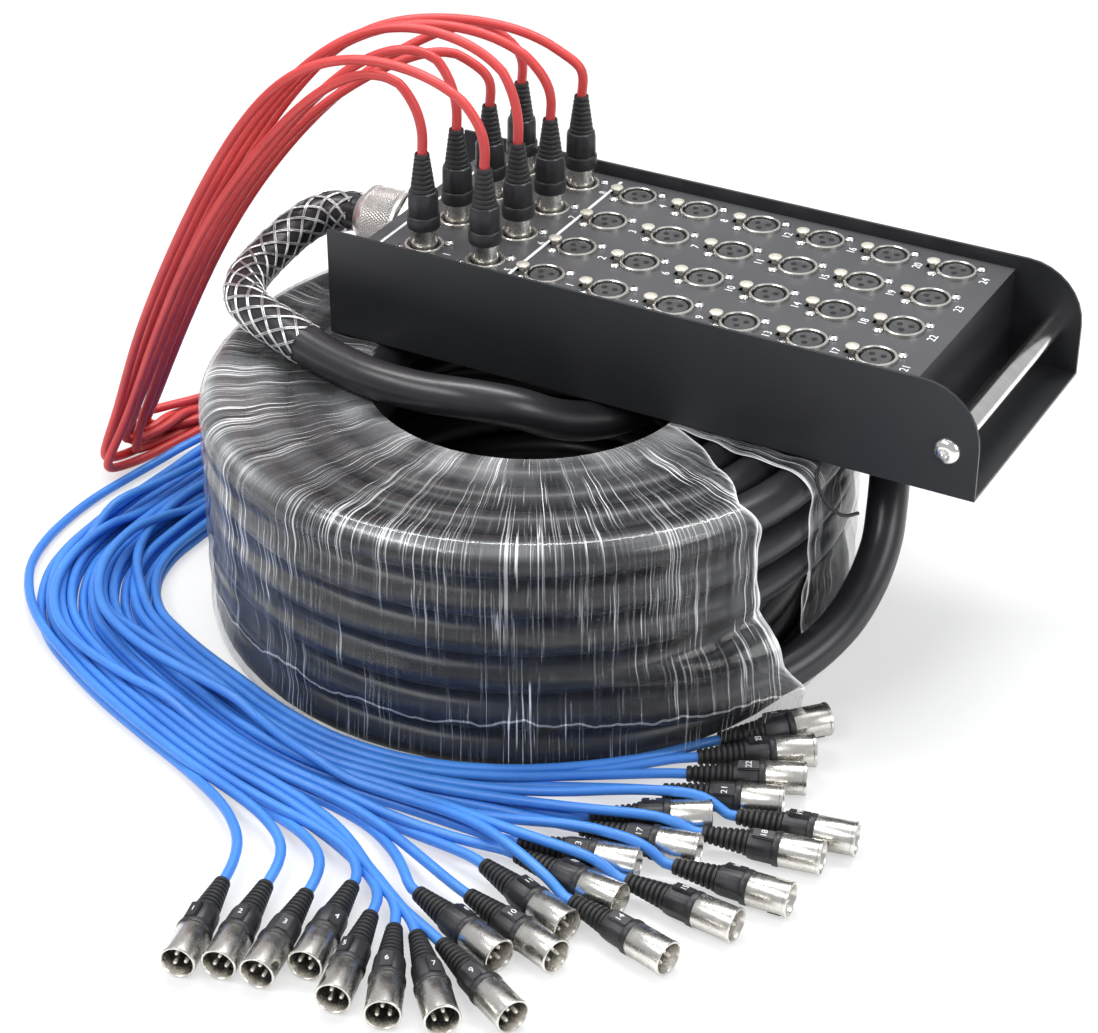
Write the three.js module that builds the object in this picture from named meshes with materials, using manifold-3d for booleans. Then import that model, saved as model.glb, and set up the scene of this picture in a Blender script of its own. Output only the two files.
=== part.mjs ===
import * as THREE from 'three';
import { mergeVertices } from 'three/addons/utils/BufferGeometryUtils.js';
import Module from 'manifold-3d';

const wasm = await Module();
wasm.setup();

// Stage box snake: a steel connector box lying on the wrapped coil of its own trunk cable.
// Millimetres, +Z up. The floor is z = 0, and the origin lies under the middle of box and coil.

// Trunk cable and the coil it is wound into
const trunkDiameter = 24;
const turnGap = 1.2;
const coilOuterRadius = 196;
const coilColumns = 4;
const coilLayers = 6;
const coilLift = 0.3;
const stepsPerTurn = 24;
const trunkFormSides = 6;
const cableSides = 8;

// Stretch film round the coil
const filmThickness = 0.7;
const filmClearance = 0.5;
const filmSegments = 24;

// Gaps between touching pieces
const seatGap = 0.3;
const cutOverrun = 2;

// Box: outer channel and inner connector panel
const boxLength = 418;
const boxWidth = 166.4;
const cheekHeight = 68.3;
const cheekAbovePanel = 8;
const channelSheet = 2;
const cheekCornerRadius = 36;
const panelSheet = 2;
const panelLeftInset = 19;
const panelRightInset = 43;
const boxLeftFromCoil = -132.7;
const boxMiddleFromCoil = 70.2;

// Connectors on the panel, spread over its length and width. The room left of the first column and
// right of the last one is a share of the pitch.
const inputColumnCount = 6;
const rowCount = 4;
const returnColumnCount = 2;
const lastReturnToInput = 40;
const leftRoomShare = 35 / 42;
const rightRoomShare = 29 / 42;
const pitchesAlong = inputColumnCount - 1 + returnColumnCount - 1 + leftRoomShare + rightRoomShare;
const panelLength = boxLength - panelLeftInset - panelRightInset;
const columnPitch = (panelLength - lastReturnToInput) / pitchesAlong;
const rowMargin = 23.2;
const rowPitch = (boxWidth - 2 * rowMargin) / (rowCount - 1);

// Panel sockets
const socketSides = 8;
const socketRadius = 11.8;
const socketProud = 2.3;
const socketDepth = 21;
const socketInsertRadius = 9.7;
const socketInsertRecess = 1.6;
const flangeThickness = 3;
const flangeHalfWidth = 13;
const flangeTail = 20.5;
const flangeNose = 15.5;
const flangeWellRadius = 10.6;
const returnCupRadius = 8.8;
const returnCupDepth = 15;

// Release latch of an input socket
const latchOffset = 16.9;
const latchHeadRadius = 4.6;
const latchHeadThickness = 1.8;
const latchTravel = 1.5;
const latchPressedRise = 1.5;
const latchHeadRise = latchPressedRise + latchTravel;
const latchStalkWidth = 3.6;
const latchStalkLength = 3.6;
const latchSides = 6;

// Contact pins of a cable or panel connector
const pinRadius = 1.2;
const pinCircleRadius = 3.7;
const pinLength = 9;
const pinCount = 3;
const pinSides = 3;

// Return plug, a female cable connector standing in its panel socket
const tailDiameter = 6;
const returnNoseRadius = 8.3;
const returnNoseBore = 6.4;
const returnNoseLength = 13;
const returnShellRadius = 10;
const returnShellLength = 38;
const returnBodyRadius = 8.7;
const returnBootLength = 20;
const returnBootRadius = 5.2;
const returnSides = 8;
const plugTravel = 16;
const tailInBoot = 4;
const bootBoreClearance = 0.5;

// Input plug, a male cable connector at the end of a tail
const plugSides = 7;
const plugLength = 67;
const plugBootRadius = 4.6;
const plugShellStart = 30;
const plugShellRadius = 9.6;
const plugCupRadius = 8.4;
const plugCupDepth = 15;
const plugFloorGap = 0.9;

// Handle
const handleTubeRadius = 6.5;
const handleTubeBore = 4.6;
const handleFromRight = 18;
const handleHeight = 28;
const boltHeadRadius = 8;
const boltHeadHeight = 4.6;
const boltShankRadius = 3;
const boltShankLength = 16;
const handleSides = 12;

// Cable gland and wire mesh grip
const glandHeight = 37;
const glandBodyRadius = 19;
const glandHexLength = 13;
const glandBodyLength = 45.3;
const glandNutRadius = 21.5;
const glandNutLength = 26;
const glandThreadRadius = 15.5;
const glandLocknutRadius = 20;
const glandLocknutLength = 5;
const glandSides = 10;
const gripWall = 1.2;

// Breakout boot and tails
const bootSmallRadius = 15;
const bootLargeRadius = 28.5;
const bootConeLength = 60;
const bootCollarLength = 22;
const ropeDiameter = 12;
const ropePitch = 12.8;
const redRopeDiameter = 17;
const floorGap = 0.4;

// Places worked out from the sizes above
const trunkRadius = trunkDiameter / 2;
const turnPitch = trunkDiameter + turnGap;
const outerTurnRadius = coilOuterRadius - trunkRadius;
const innerTurnRadius = outerTurnRadius - (coilColumns - 1) * turnPitch;
const firstLayerHeight = trunkRadius + coilLift;
const topLayerHeight = firstLayerHeight + (coilLayers - 1) * turnPitch;
const coilTop = topLayerHeight + trunkRadius;
const filmInnerRadius = (coilOuterRadius + filmClearance) / Math.cos(Math.PI / filmSegments);
const filmOuterRadius = filmInnerRadius + filmThickness;
const filmTop = coilTop + filmClearance + filmThickness;
const boxBottom = filmTop + seatGap;
const panelTop = cheekHeight - cheekAbovePanel;
const coilX = -(boxLeftFromCoil + boxLength - filmOuterRadius) / 2;

// Finishes
function finish(color, roughness, metalness, opacity = 1) {
  const transparent = opacity < 1;
  return new THREE.MeshStandardMaterial({ color, roughness, metalness, opacity, transparent });
}
const blackPaint = finish(0x222327, 0.45, 0.3);
const panelPaint = finish(0x3a3a3d, 0.5, 0.3);
const polishedNickel = finish(0xd8d6cf, 0.2, 1);
const castNickel = finish(0xb8b8b4, 0.4, 1);
const blackPlastic = finish(0x1b1b1d, 0.5, 0);
const blackJacket = finish(0x1d1d1f, 0.55, 0);
const blueJacket = finish(0x3f86e0, 0.45, 0);
const redJacket = finish(0xcb3f3f, 0.45, 0);
const meshWire = finish(0xa8a9a8, 0.35, 0.8);
const clearFilm = finish(0xdfe6ee, 0.15, 0, 0.3);
const wireColours = finish(0x8a8f96, 0.6, 0);

function signedVolume(position, index) {
  const a = new THREE.Vector3();
  const b = new THREE.Vector3();
  const c = new THREE.Vector3();
  let sum = 0;
  for (let i = 0; i < index.length; i += 3) {
    a.fromBufferAttribute(position, index[i]);
    b.fromBufferAttribute(position, index[i + 1]);
    c.fromBufferAttribute(position, index[i + 2]);
    sum += a.dot(b.cross(c));
  }
  return sum;
}

// A closed geometry becomes a solid whose faces point out
function solidOf(geometry) {
  const plain = geometry.clone();
  plain.deleteAttribute('normal');
  plain.deleteAttribute('uv');
  const merged = mergeVertices(plain);
  const position = merged.attributes.position;
  const kept = [];
  const index = merged.index.array;
  for (let i = 0; i < index.length; i += 3) {
    const [a, b, c] = [index[i], index[i + 1], index[i + 2]];
    if (a !== b && b !== c && c !== a) kept.push(a, b, c);
  }
  if (signedVolume(position, kept) < 0) kept.reverse();
  const mesh = new wasm.Mesh({
    numProp: 3,
    vertProperties: new Float32Array(position.array),
    triVerts: new Uint32Array(kept),
  });
  return new wasm.Manifold(mesh);
}

function geometryOf(solid) {
  const mesh = solid.getMesh();
  const geometry = new THREE.BufferGeometry();
  geometry.setAttribute('position', new THREE.BufferAttribute(mesh.vertProperties, 3));
  geometry.setIndex(new THREE.BufferAttribute(mesh.triVerts, 1));
  geometry.computeVertexNormals();
  return geometry;
}

function addPart(parent, name, solid, material, position = [0, 0, 0]) {
  const mesh = new THREE.Mesh(geometryOf(solid), material);
  mesh.name = name;
  mesh.position.set(...position);
  parent.add(mesh);
  return mesh;
}

// Solid of revolution about +Z from [radius, height] points that start and end on the axis
function turned(points, sides) {
  const profile = points.map(([radius, height]) => new THREE.Vector2(radius, height));
  const geometry = new THREE.LatheGeometry(profile, sides);
  geometry.rotateX(Math.PI / 2);
  return solidOf(geometry);
}

// Prism of an [x, y] outline standing from z = 0 to its height
function prism(outline, height) {
  const shape = new THREE.Shape(outline.map(([x, y]) => new THREE.Vector2(x, y)));
  return solidOf(new THREE.ExtrudeGeometry(shape, { depth: height, bevelEnabled: false }));
}

function block(sizeX, sizeY, sizeZ, centre) {
  const geometry = new THREE.BoxGeometry(sizeX, sizeY, sizeZ);
  geometry.translate(...centre);
  return solidOf(geometry);
}

function rod(radius, length, sides, centre) {
  const geometry = new THREE.CylinderGeometry(radius, radius, length, sides);
  geometry.rotateX(Math.PI / 2);
  geometry.translate(...centre);
  return solidOf(geometry);
}

function union(solids) {
  return solids.reduce((sum, solid) => sum.add(solid));
}

const toPoints = (route) => route.map((place) => new THREE.Vector3(...place));

// Round cable along a smooth curve through the points of its route
function cable(route, diameter, sides, steps) {
  const curve = new THREE.CatmullRomCurve3(toPoints(route), false, 'centripetal');
  const section = new THREE.Shape();
  const radius = diameter / 2;
  for (let i = 0; i < sides; i += 1) {
    const angle = (2 * Math.PI * (i + 1 / 2)) / sides;
    const x = radius * Math.cos(angle);
    const y = radius * Math.sin(angle);
    if (i === 0) section.moveTo(x, y);
    else section.lineTo(x, y);
  }
  return solidOf(new THREE.ExtrudeGeometry(section, { steps, extrudePath: curve, bevelEnabled: false }));
}

const degrees = (angle) => (angle * Math.PI) / 180;

// Point about the coil's axis
function onCoil(angle, radius, height) {
  return [radius * Math.cos(degrees(angle)), radius * Math.sin(degrees(angle)), height];
}

const root = new THREE.Group();
const coil = new THREE.Group();
coil.position.set(coilX, 0, 0);
root.add(coil);
const box = new THREE.Group();
box.position.set(coilX + boxLeftFromCoil, boxMiddleFromCoil, boxBottom);
root.add(box);

// Coil winding: out over the top layer, then down the outer column, one turn after the other.
// Each turn is a plain ring but for one short window where it steps aside or down to the next place.
const windingStart = 170;
const windingEnd = 305;
const dropWindow = [5, 65];
const asideWindow = [65, 170];
const startInset = 12;
const startBlend = 60;
const endRun = trunkDiameter;
const fullTurn = 360;
const shareBetween = (value, low, high) => THREE.MathUtils.clamp((value - low) / (high - low), 0, 1);

const asideSteps = coilColumns - 1;
const dropSteps = coilLayers - 2;
const windingTurns = asideSteps + dropSteps;
const windingLast = windingTurns * fullTurn + windingEnd;

function windingPoint(angle) {
  let radius = innerTurnRadius;
  let height = topLayerHeight;
  for (let turn = 1; turn <= asideSteps; turn += 1) {
    const base = turn * fullTurn;
    radius += turnPitch * shareBetween(angle, base + asideWindow[0], base + asideWindow[1]);
  }
  for (let turn = asideSteps + 1; turn <= windingTurns; turn += 1) {
    const base = turn * fullTurn;
    height -= turnPitch * shareBetween(angle, base + dropWindow[0], base + dropWindow[1]);
  }
  radius -= startInset * (1 - shareBetween(angle, windingStart, windingStart + startBlend));
  return new THREE.Vector3(...onCoil(angle, radius, height));
}

function windingRoute() {
  const points = [];
  const stepAngle = fullTurn / stepsPerTurn;
  const first = windingPoint(windingStart);
  const startTangent = new THREE.Vector3(...onCoil(windingStart + fullTurn / 4, 1, 0));
  points.push(first.clone().addScaledVector(startTangent, -endRun));
  const stepCount = Math.round((windingLast - windingStart) / stepAngle);
  for (let i = 0; i <= stepCount; i += 1) {
    points.push(windingPoint(windingStart + ((windingLast - windingStart) * i) / stepCount));
  }
  const last = windingPoint(windingLast);
  const endTangent = new THREE.Vector3(...onCoil(windingLast + fullTurn / 4, 1, 0));
  points.push(last.clone().addScaledVector(endTangent, endRun));
  return points;
}

// Unbroken tube through the points whose section keeps its place to one direction, which is up if not
// given; the end faces can be set square to a direction
const upward = new THREE.Vector3(0, 0, 1);
function tubeThrough(points, radius, sides, startAlong = null, endAlong = null, up = upward) {
  const positions = [];
  const indices = [];
  points.forEach((point, i) => {
    const before = points[Math.max(i - 1, 0)];
    const after = points[Math.min(i + 1, points.length - 1)];
    let along = after.clone().sub(before).normalize();
    if (startAlong && i === 0) along = startAlong.clone().normalize();
    if (endAlong && i === points.length - 1) along = endAlong.clone().normalize();
    const aside = along.clone().cross(up).normalize();
    const over = aside.clone().cross(along).normalize();
    for (let side = 0; side < sides; side += 1) {
      const angle = (2 * Math.PI * side) / sides;
      const corner = point.clone();
      corner.addScaledVector(aside, radius * Math.cos(angle));
      corner.addScaledVector(over, radius * Math.sin(angle));
      positions.push(corner.x, corner.y, corner.z);
    }
  });
  for (let i = 0; i + 1 < points.length; i += 1) {
    for (let side = 0; side < sides; side += 1) {
      const next = (side + 1) % sides;
      const a = i * sides + side;
      const b = i * sides + next;
      const c = (i + 1) * sides + next;
      const d = (i + 1) * sides + side;
      indices.push(a, b, c, a, c, d);
    }
  }
  const lastRing = (points.length - 1) * sides;
  for (let side = 1; side + 1 < sides; side += 1) {
    indices.push(0, side + 1, side);
    indices.push(lastRing, lastRing + side, lastRing + side + 1);
  }
  const geometry = new THREE.BufferGeometry();
  geometry.setAttribute('position', new THREE.Float32BufferAttribute(positions, 3));
  geometry.setIndex(indices);
  return solidOf(geometry);
}

// Least air between turns, measured between points of the centreline that lie half a turn or more apart
function leastGap(points, diameter) {
  const apart = stepsPerTurn / 2;
  const samples = [];
  const finer = 4;
  for (let i = 0; i + 1 < points.length; i += 1) {
    for (let k = 0; k < finer; k += 1) samples.push(points[i].clone().lerp(points[i + 1], k / finer));
  }
  let least = Infinity;
  for (let i = 0; i < samples.length; i += 1) {
    for (let j = i + apart * finer; j < samples.length; j += 1) {
      least = Math.min(least, samples[i].distanceTo(samples[j]));
    }
  }
  return least - diameter;
}

const winding = windingRoute();
console.log('least gap between turns of the coil, mm:', leastGap(winding, trunkDiameter).toFixed(3));
addPart(coil, 'trunk_coil', tubeThrough(winding, trunkRadius, trunkFormSides), blackJacket);

// The turns under the winding, as one plain ring with a step for the lowest outer turn
function coilCore() {
  const hole = innerTurnRadius - trunkRadius;
  const wall = (outerTurnRadius - trunkRadius) * Math.cos(Math.PI / stepsPerTurn) - turnGap;
  const top = topLayerHeight - trunkRadius - turnGap;
  const stepTop = firstLayerHeight + turnPitch - trunkRadius - seatGap;
  const rounding = trunkRadius / 2;
  return turned([
    [hole, 0],
    [coilOuterRadius - rounding, 0],
    [coilOuterRadius, rounding],
    [coilOuterRadius, stepTop - rounding],
    [coilOuterRadius - rounding, stepTop],
    [wall, stepTop],
    [wall, top],
    [hole, top],
    [hole, 0],
  ], filmSegments);
}
addPart(coil, 'coil_core', coilCore(), blackJacket);

// Film over the top and down the outside, left off where the trunk comes out of the winding
const filmShoulder = 9;
const filmInnerEdge = 2;
const filmHem = 3;
const filmOpening = [-64, -8];
const filmOpeningSteps = 6;
function stretchFilm() {
  const innerEdge = innerTurnRadius - trunkRadius + filmInnerEdge;
  const ring = (offset, hem) => [
    [innerEdge, filmTop - offset],
    [filmOuterRadius - filmShoulder, filmTop - offset],
    [filmOuterRadius - offset, filmTop - filmShoulder],
    [filmOuterRadius - offset, hem],
  ];
  const outer = ring(0, filmHem);
  const inner = ring(filmThickness, filmHem).reverse();
  const skin = turned([...outer, ...inner, outer[0]], filmSegments);
  const far = filmOuterRadius * 2;
  const wedge = [[0, 0]];
  for (let i = 0; i <= filmOpeningSteps; i += 1) {
    const angle = filmOpening[0] + ((filmOpening[1] - filmOpening[0]) * i) / filmOpeningSteps;
    wedge.push(onCoil(angle, far, 0).slice(0, 2));
  }
  return skin.subtract(prism(wedge, filmTop + cutOverrun));
}
addPart(coil, 'stretch_film', stretchFilm(), clearFilm);

// Trunk from the gland over the coil, down into its middle and round to the first turn.
// The points are measured from the coil's axis and the floor.
const leadHeight = filmTop + seatGap + trunkRadius;
const leadRoute = [
  [-159.6, 70.2, 188.8],
  [-172, 70.2, 188.6],
  [-184.5, 65.5, 186.5],
  [-194, 52, 181.5],
  [-199, 32, 175],
  [-199.5, 10, 170.5],
  [-194.5, -12, 169.5],
  [-182, -31, 169],
  [-164, -43, 169],
  [-141, -51, 168],
  [-116, -58, 165],
  [-90, -65, leadHeight],
  [-64, -70, leadHeight],
  [-34, -70, leadHeight],
  [-4, -64, leadHeight],
  [18, -51, 158],
  [34, -33, 146],
  [48, -12, 138],
  [60, 12, 136],
  [64, 36, 135.6],
  [58, 56, 135.8],
  [45, 68.5, 136],
  [25, 79, topLayerHeight],
  [0, 86, topLayerHeight],
  [-25, 87.5, topLayerHeight],
  [-49, 82, topLayerHeight],
  [-70, 69, topLayerHeight],
];
const leadSteps = 24;
const gripFirst = 1;
const gripLast = 8;

// The lead's last two places, in line with the start of the winding
const windingIn = new THREE.Vector3(...onCoil(windingStart + fullTurn / 4, 1, 0));
function leadEnd() {
  const first = windingPoint(windingStart).addScaledVector(windingIn, -endRun - seatGap);
  const before = first.clone().addScaledVector(windingIn, -trunkRadius / 2);
  return [before, first];
}

function smooth(points, steps) {
  const curve = new THREE.CatmullRomCurve3(points, false, 'centripetal');
  return curve.getSpacedPoints(steps);
}
const leadStations = smooth([...toPoints(leadRoute), ...leadEnd()], leadSteps);
const glandOut = new THREE.Vector3(-1, 0, 0);
const leadTube = tubeThrough(leadStations, trunkRadius, cableSides, glandOut, windingIn);
addPart(coil, 'trunk_lead', leadTube, blackJacket);

// Wire mesh grip, a thin sleeve along the first bend of the trunk
function meshGrip() {
  const run = leadStations.slice(gripFirst, gripLast);
  const bore = trunkRadius + seatGap / Math.cos(Math.PI / cableSides);
  const skin = tubeThrough(run, bore + gripWall, cableSides);
  return skin.subtract(tubeThrough(leadStations.slice(gripFirst - 1, gripLast + 1), bore, cableSides));
}
addPart(coil, 'mesh_grip', meshGrip(), meshWire);

// Trunk's far end: out of the winding at the front, up and over its right side, and down behind it
const endTurns = [
  [-30, 201, 37.5], [-18, 211, 43], [-8, 217.5, 54], [0, 219.5, 67], [6, 220.5, 84],
  [10, 219, 101], [15, 216.5, 117], [23, 214, 127], [33, 213, 126], [45, 213.5, 112], [58, 213, 90],
  [72, 212, 62], [86, 214, 37], [97, 221, 20], [104, 235, 15], [110.7, 254.5, 18.5],
];
const endSteps = 24;
const bootAngle = 220;
const bootPlace = [-137, 219, bootLargeRadius + floorGap];

const windingOut = new THREE.Vector3(...onCoil(windingEnd + fullTurn / 4, 1, 0));
const bootInto = new THREE.Vector3(...onCoil(bootAngle, 1, 0));
function trunkEndRoute() {
  const start = windingPoint(windingLast).addScaledVector(windingOut, endRun + seatGap);
  const after = start.clone().addScaledVector(windingOut, trunkRadius);
  const route = [start, after];
  route.push(...toPoints(endTurns.map((place) => onCoil(...place))));
  const mouth = new THREE.Vector3(...bootPlace).addScaledVector(bootInto, -seatGap);
  route.push(mouth.clone().addScaledVector(bootInto, -trunkDiameter), mouth);
  return route;
}
const endStations = smooth(trunkEndRoute(), endSteps);
const endTube = tubeThrough(endStations, trunkRadius, cableSides, windingOut, bootInto);
addPart(coil, 'trunk_end', endTube, blackJacket);

// Breakout boot, a cone with a collar from which all the tails come
function breakoutBoot() {
  return turned([
    [0, 0],
    [bootSmallRadius, 0],
    [bootLargeRadius, bootConeLength],
    [bootLargeRadius, bootConeLength + bootCollarLength],
    [0, bootConeLength + bootCollarLength],
  ], glandSides);
}
const boot = addPart(coil, 'breakout_boot', breakoutBoot(), blackPlastic, bootPlace);
boot.rotation.set(0, Math.PI / 2, 0);
boot.rotation.order = 'ZYX';
boot.rotation.z = degrees(bootAngle);

// Outer channel: a floor and two cheeks folded from one sheet, with a big round corner at the handle end
function cheekHole() {
  const hole = rod(boltShankRadius + seatGap, boxWidth + 2 * cutOverrun, handleSides, [0, 0, 0]);
  return hole.rotate([90, 0, 0]).translate([boxLength - handleFromRight, 0, handleHeight]);
}

function outerChannel() {
  const half = boxWidth / 2;
  const inner = half - channelSheet;
  const section = [
    [-half, 0], [half, 0], [half, cheekHeight], [inner, cheekHeight],
    [inner, channelSheet], [-inner, channelSheet], [-inner, cheekHeight], [-half, cheekHeight],
  ];
  const folded = prism(section, boxLength).rotate([90, 0, 90]);
  const corner = [];
  const arcSteps = 8;
  const centreX = boxLength - cheekCornerRadius;
  const centreZ = cheekHeight - cheekCornerRadius;
  for (let i = 0; i <= arcSteps; i += 1) {
    const angle = (Math.PI / 2) * (i / arcSteps);
    const [x, z] = [cheekCornerRadius * Math.cos(angle), cheekCornerRadius * Math.sin(angle)];
    corner.push([centreX + x, centreZ + z]);
  }
  corner.push([centreX, cheekHeight + cutOverrun]);
  corner.push([boxLength + cutOverrun, cheekHeight + cutOverrun]);
  corner.push([boxLength + cutOverrun, centreZ]);
  const reach = half + cutOverrun;
  const cutter = prism(corner, 2 * reach).rotate([90, 0, 0]).translate([0, reach, 0]);
  return folded.subtract(cutter).subtract(cheekHole());
}
addPart(box, 'outer_channel', outerChannel(), blackPaint);

// Places of the sockets, in the box's frame
const rowY = (row) => (row - (rowCount - 1) / 2) * rowPitch;
const firstReturnX = panelLeftInset + leftRoomShare * columnPitch;
const returnX = (column) => firstReturnX + (returnColumnCount - 1 - column) * columnPitch;
const inputX = (column) => returnX(0) + lastReturnToInput + column * columnPitch;

// Connector panel: a top plate with an end wall folded down at each end
const panelLeft = panelLeftInset;
const panelRight = panelLeft + panelLength;
const panelHalf = boxWidth / 2 - channelSheet - seatGap;
const socketHoleRadius = socketRadius + seatGap / Math.cos(Math.PI / socketSides);
function latchHole(x, y, level, cut) {
  const width = latchStalkWidth + 2 * seatGap;
  return block(width, width, cut, [x, y, level]);
}

function connectorPanel() {
  const foot = channelSheet + seatGap;
  const section = [
    [panelLeft, foot], [panelLeft + panelSheet, foot],
    [panelLeft + panelSheet, panelTop - panelSheet], [panelRight - panelSheet, panelTop - panelSheet],
    [panelRight - panelSheet, foot], [panelRight, foot], [panelRight, panelTop], [panelLeft, panelTop],
  ];
  let panel = prism(section, 2 * panelHalf).rotate([90, 0, 0]).translate([0, panelHalf, 0]);
  const cut = panelSheet + 2 * cutOverrun;
  const level = panelTop - panelSheet / 2;
  const holes = [];
  for (let row = 0; row < rowCount; row += 1) {
    for (let column = 0; column < inputColumnCount; column += 1) {
      holes.push(rod(socketHoleRadius, cut, socketSides, [inputX(column), rowY(row), level]));
      holes.push(latchHole(inputX(column) - latchOffset, rowY(row), level, cut));
    }
    for (let column = 0; column < returnColumnCount; column += 1) {
      holes.push(rod(socketHoleRadius, cut, socketSides, [returnX(column), rowY(row), level]));
    }
  }
  const glandHole = rod(glandThreadRadius + seatGap, cut, glandSides, [0, 0, 0]);
  holes.push(glandHole.rotate([0, 90, 0]).translate([panelLeft + panelSheet / 2, 0, glandHeight]));
  for (const hole of holes) panel = panel.subtract(hole);
  return panel;
}
addPart(box, 'connector_panel', connectorPanel(), panelPaint);

// Contact pins standing from z = 0, sunk a little into what carries them
const pinRoot = 1;
function contactPins(length) {
  const pins = [];
  for (let i = 0; i < pinCount; i += 1) {
    const angle = Math.PI / 2 + (2 * Math.PI * i) / pinCount;
    const x = pinCircleRadius * Math.cos(angle);
    const y = pinCircleRadius * Math.sin(angle);
    pins.push(rod(pinRadius, length + pinRoot, pinSides, [x, y, (length - pinRoot) / 2]));
  }
  return pins;
}

// Input socket about its own axis, z = 0 on the panel's upper face
const flangeTop = -panelSheet - seatGap;
function inputSocket() {
  return turned([
    [0, socketProud - socketInsertRecess],
    [socketInsertRadius, socketProud - socketInsertRecess],
    [socketInsertRadius, socketProud],
    [socketRadius, socketProud],
    [socketRadius, -socketDepth],
    [0, -socketDepth],
  ], socketSides);
}

// Return socket: an open cup with three pins
function returnSocket() {
  const cup = turned([
    [0, -returnCupDepth],
    [returnCupRadius, -returnCupDepth],
    [returnCupRadius, socketProud],
    [socketRadius, socketProud],
    [socketRadius, -socketDepth],
    [0, -socketDepth],
  ], socketSides);
  const pins = contactPins(pinLength).map((pin) => pin.translate([0, 0, -returnCupDepth]));
  return union([cup, ...pins]);
}

// Mounting flanges under the panel, one strip for all the sockets of a group
function flangeStrip(fromX, toX, fromY, toY, places) {
  const level = flangeTop - flangeThickness / 2;
  const cut = flangeThickness + cutOverrun;
  const middle = [(fromX + toX) / 2, (fromY + toY) / 2, level];
  let strip = block(toX - fromX, toY - fromY, flangeThickness, middle);
  for (const [x, y] of places) {
    strip = strip.subtract(rod(flangeWellRadius, cut, socketSides, [x, y, level]));
  }
  return strip;
}

for (let row = 0; row < rowCount; row += 1) {
  const places = [];
  for (let column = 0; column < inputColumnCount; column += 1) places.push([inputX(column), 0]);
  const sockets = places.map(([x]) => inputSocket().translate([x, 0, 0]));
  const from = inputX(0) - flangeTail;
  const to = inputX(inputColumnCount - 1) + flangeNose;
  sockets.push(flangeStrip(from, to, -flangeHalfWidth, flangeHalfWidth, places));
  addPart(box, `input_sockets_row_${row + 1}`, union(sockets), polishedNickel, [0, rowY(row), panelTop]);
}

function returnSocketBank() {
  const places = [];
  for (let column = 0; column < returnColumnCount; column += 1) {
    for (let row = 0; row < rowCount; row += 1) places.push([returnX(column), rowY(row)]);
  }
  const sockets = places.map(([x, y]) => returnSocket().translate([x, y, 0]));
  const from = returnX(returnColumnCount - 1) - flangeHalfWidth;
  const to = returnX(0) + flangeHalfWidth;
  const side = rowY(rowCount - 1) + flangeHalfWidth;
  sockets.push(flangeStrip(from, to, -side, side, places));
  return union(sockets);
}
addPart(box, 'return_sockets', returnSocketBank(), polishedNickel, [0, 0, panelTop]);

// Release latches: a round pad on a stalk that slides in the socket's flange
function releaseLatch() {
  const headLevel = latchHeadRise + latchHeadThickness / 2;
  const stalkLevel = latchHeadRise - latchStalkLength / 2;
  const head = rod(latchHeadRadius, latchHeadThickness, latchSides, [0, 0, headLevel]);
  return head.add(block(latchStalkWidth, latchStalkWidth, latchStalkLength, [0, 0, stalkLevel]));
}

for (let column = 0; column < inputColumnCount; column += 1) {
  for (let row = 0; row < rowCount; row += 1) {
    const number = String(column * rowCount + row + 1).padStart(2, '0');
    const place = [inputX(column) - latchOffset, rowY(row), panelTop];
    addPart(box, `input_latch_${number}`, releaseLatch(), castNickel, place);
  }
}

// Wiring loom: flat bundle from the gland under the sockets, with a branch for each row of sockets
const loomHeight = 9;
const loomWidth = 12;
const loomTop = panelTop - socketDepth - seatGap;
const loomBottom = loomTop - loomHeight;
function wiringLoom() {
  const from = panelLeft + panelSheet + seatGap + glandLocknutLength + seatGap;
  const to = inputX(inputColumnCount - 1);
  const level = (loomTop + loomBottom) / 2;
  const spine = block(loomWidth, rowY(rowCount - 1) - rowY(0), loomHeight, [returnX(1), 0, level]);
  const solids = [spine];
  for (let row = 0; row < rowCount; row += 1) {
    const start = returnX(1);
    solids.push(block(to - start, loomWidth, loomHeight, [(to + start) / 2, rowY(row), level]));
  }
  const stub = block(returnX(1) - from, loomWidth, loomHeight, [(returnX(1) + from) / 2, 0, level]);
  solids.push(stub);
  return union(solids);
}
addPart(box, 'wiring_loom', wiringLoom(), wireColours);

// Handle tube between the cheeks, with a domed bolt through each cheek into its end
function handleTube() {
  const length = boxWidth - 2 * channelSheet - 2 * seatGap;
  const half = length / 2;
  const tube = turned([
    [handleTubeBore, -half], [handleTubeRadius, -half], [handleTubeRadius, half], [handleTubeBore, half],
    [handleTubeBore, -half],
  ], handleSides);
  return tube.rotate([90, 0, 0]);
}
const handlePlace = [boxLength - handleFromRight, 0, handleHeight];
addPart(box, 'handle_tube', handleTube(), polishedNickel, handlePlace);

function domedBolt() {
  const steps = 3;
  const dome = [];
  for (let i = 0; i <= steps; i += 1) {
    const angle = (Math.PI / 2) * (1 - i / steps);
    dome.push([boltHeadRadius * Math.cos(angle), boltHeadHeight * Math.sin(angle)]);
  }
  return turned([
    ...dome,
    [boltShankRadius, 0],
    [boltShankRadius, -boltShankLength],
    [0, -boltShankLength],
  ], handleSides);
}
const boltSeat = boxWidth / 2 + seatGap;
const nearBolt = domedBolt().rotate([90, 0, 0]);
const farBolt = domedBolt().rotate([-90, 0, 0]);
addPart(box, 'handle_bolt_near', nearBolt, polishedNickel, [handlePlace[0], -boltSeat, handleHeight]);
addPart(box, 'handle_bolt_far', farBolt, polishedNickel, [handlePlace[0], boltSeat, handleHeight]);

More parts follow.
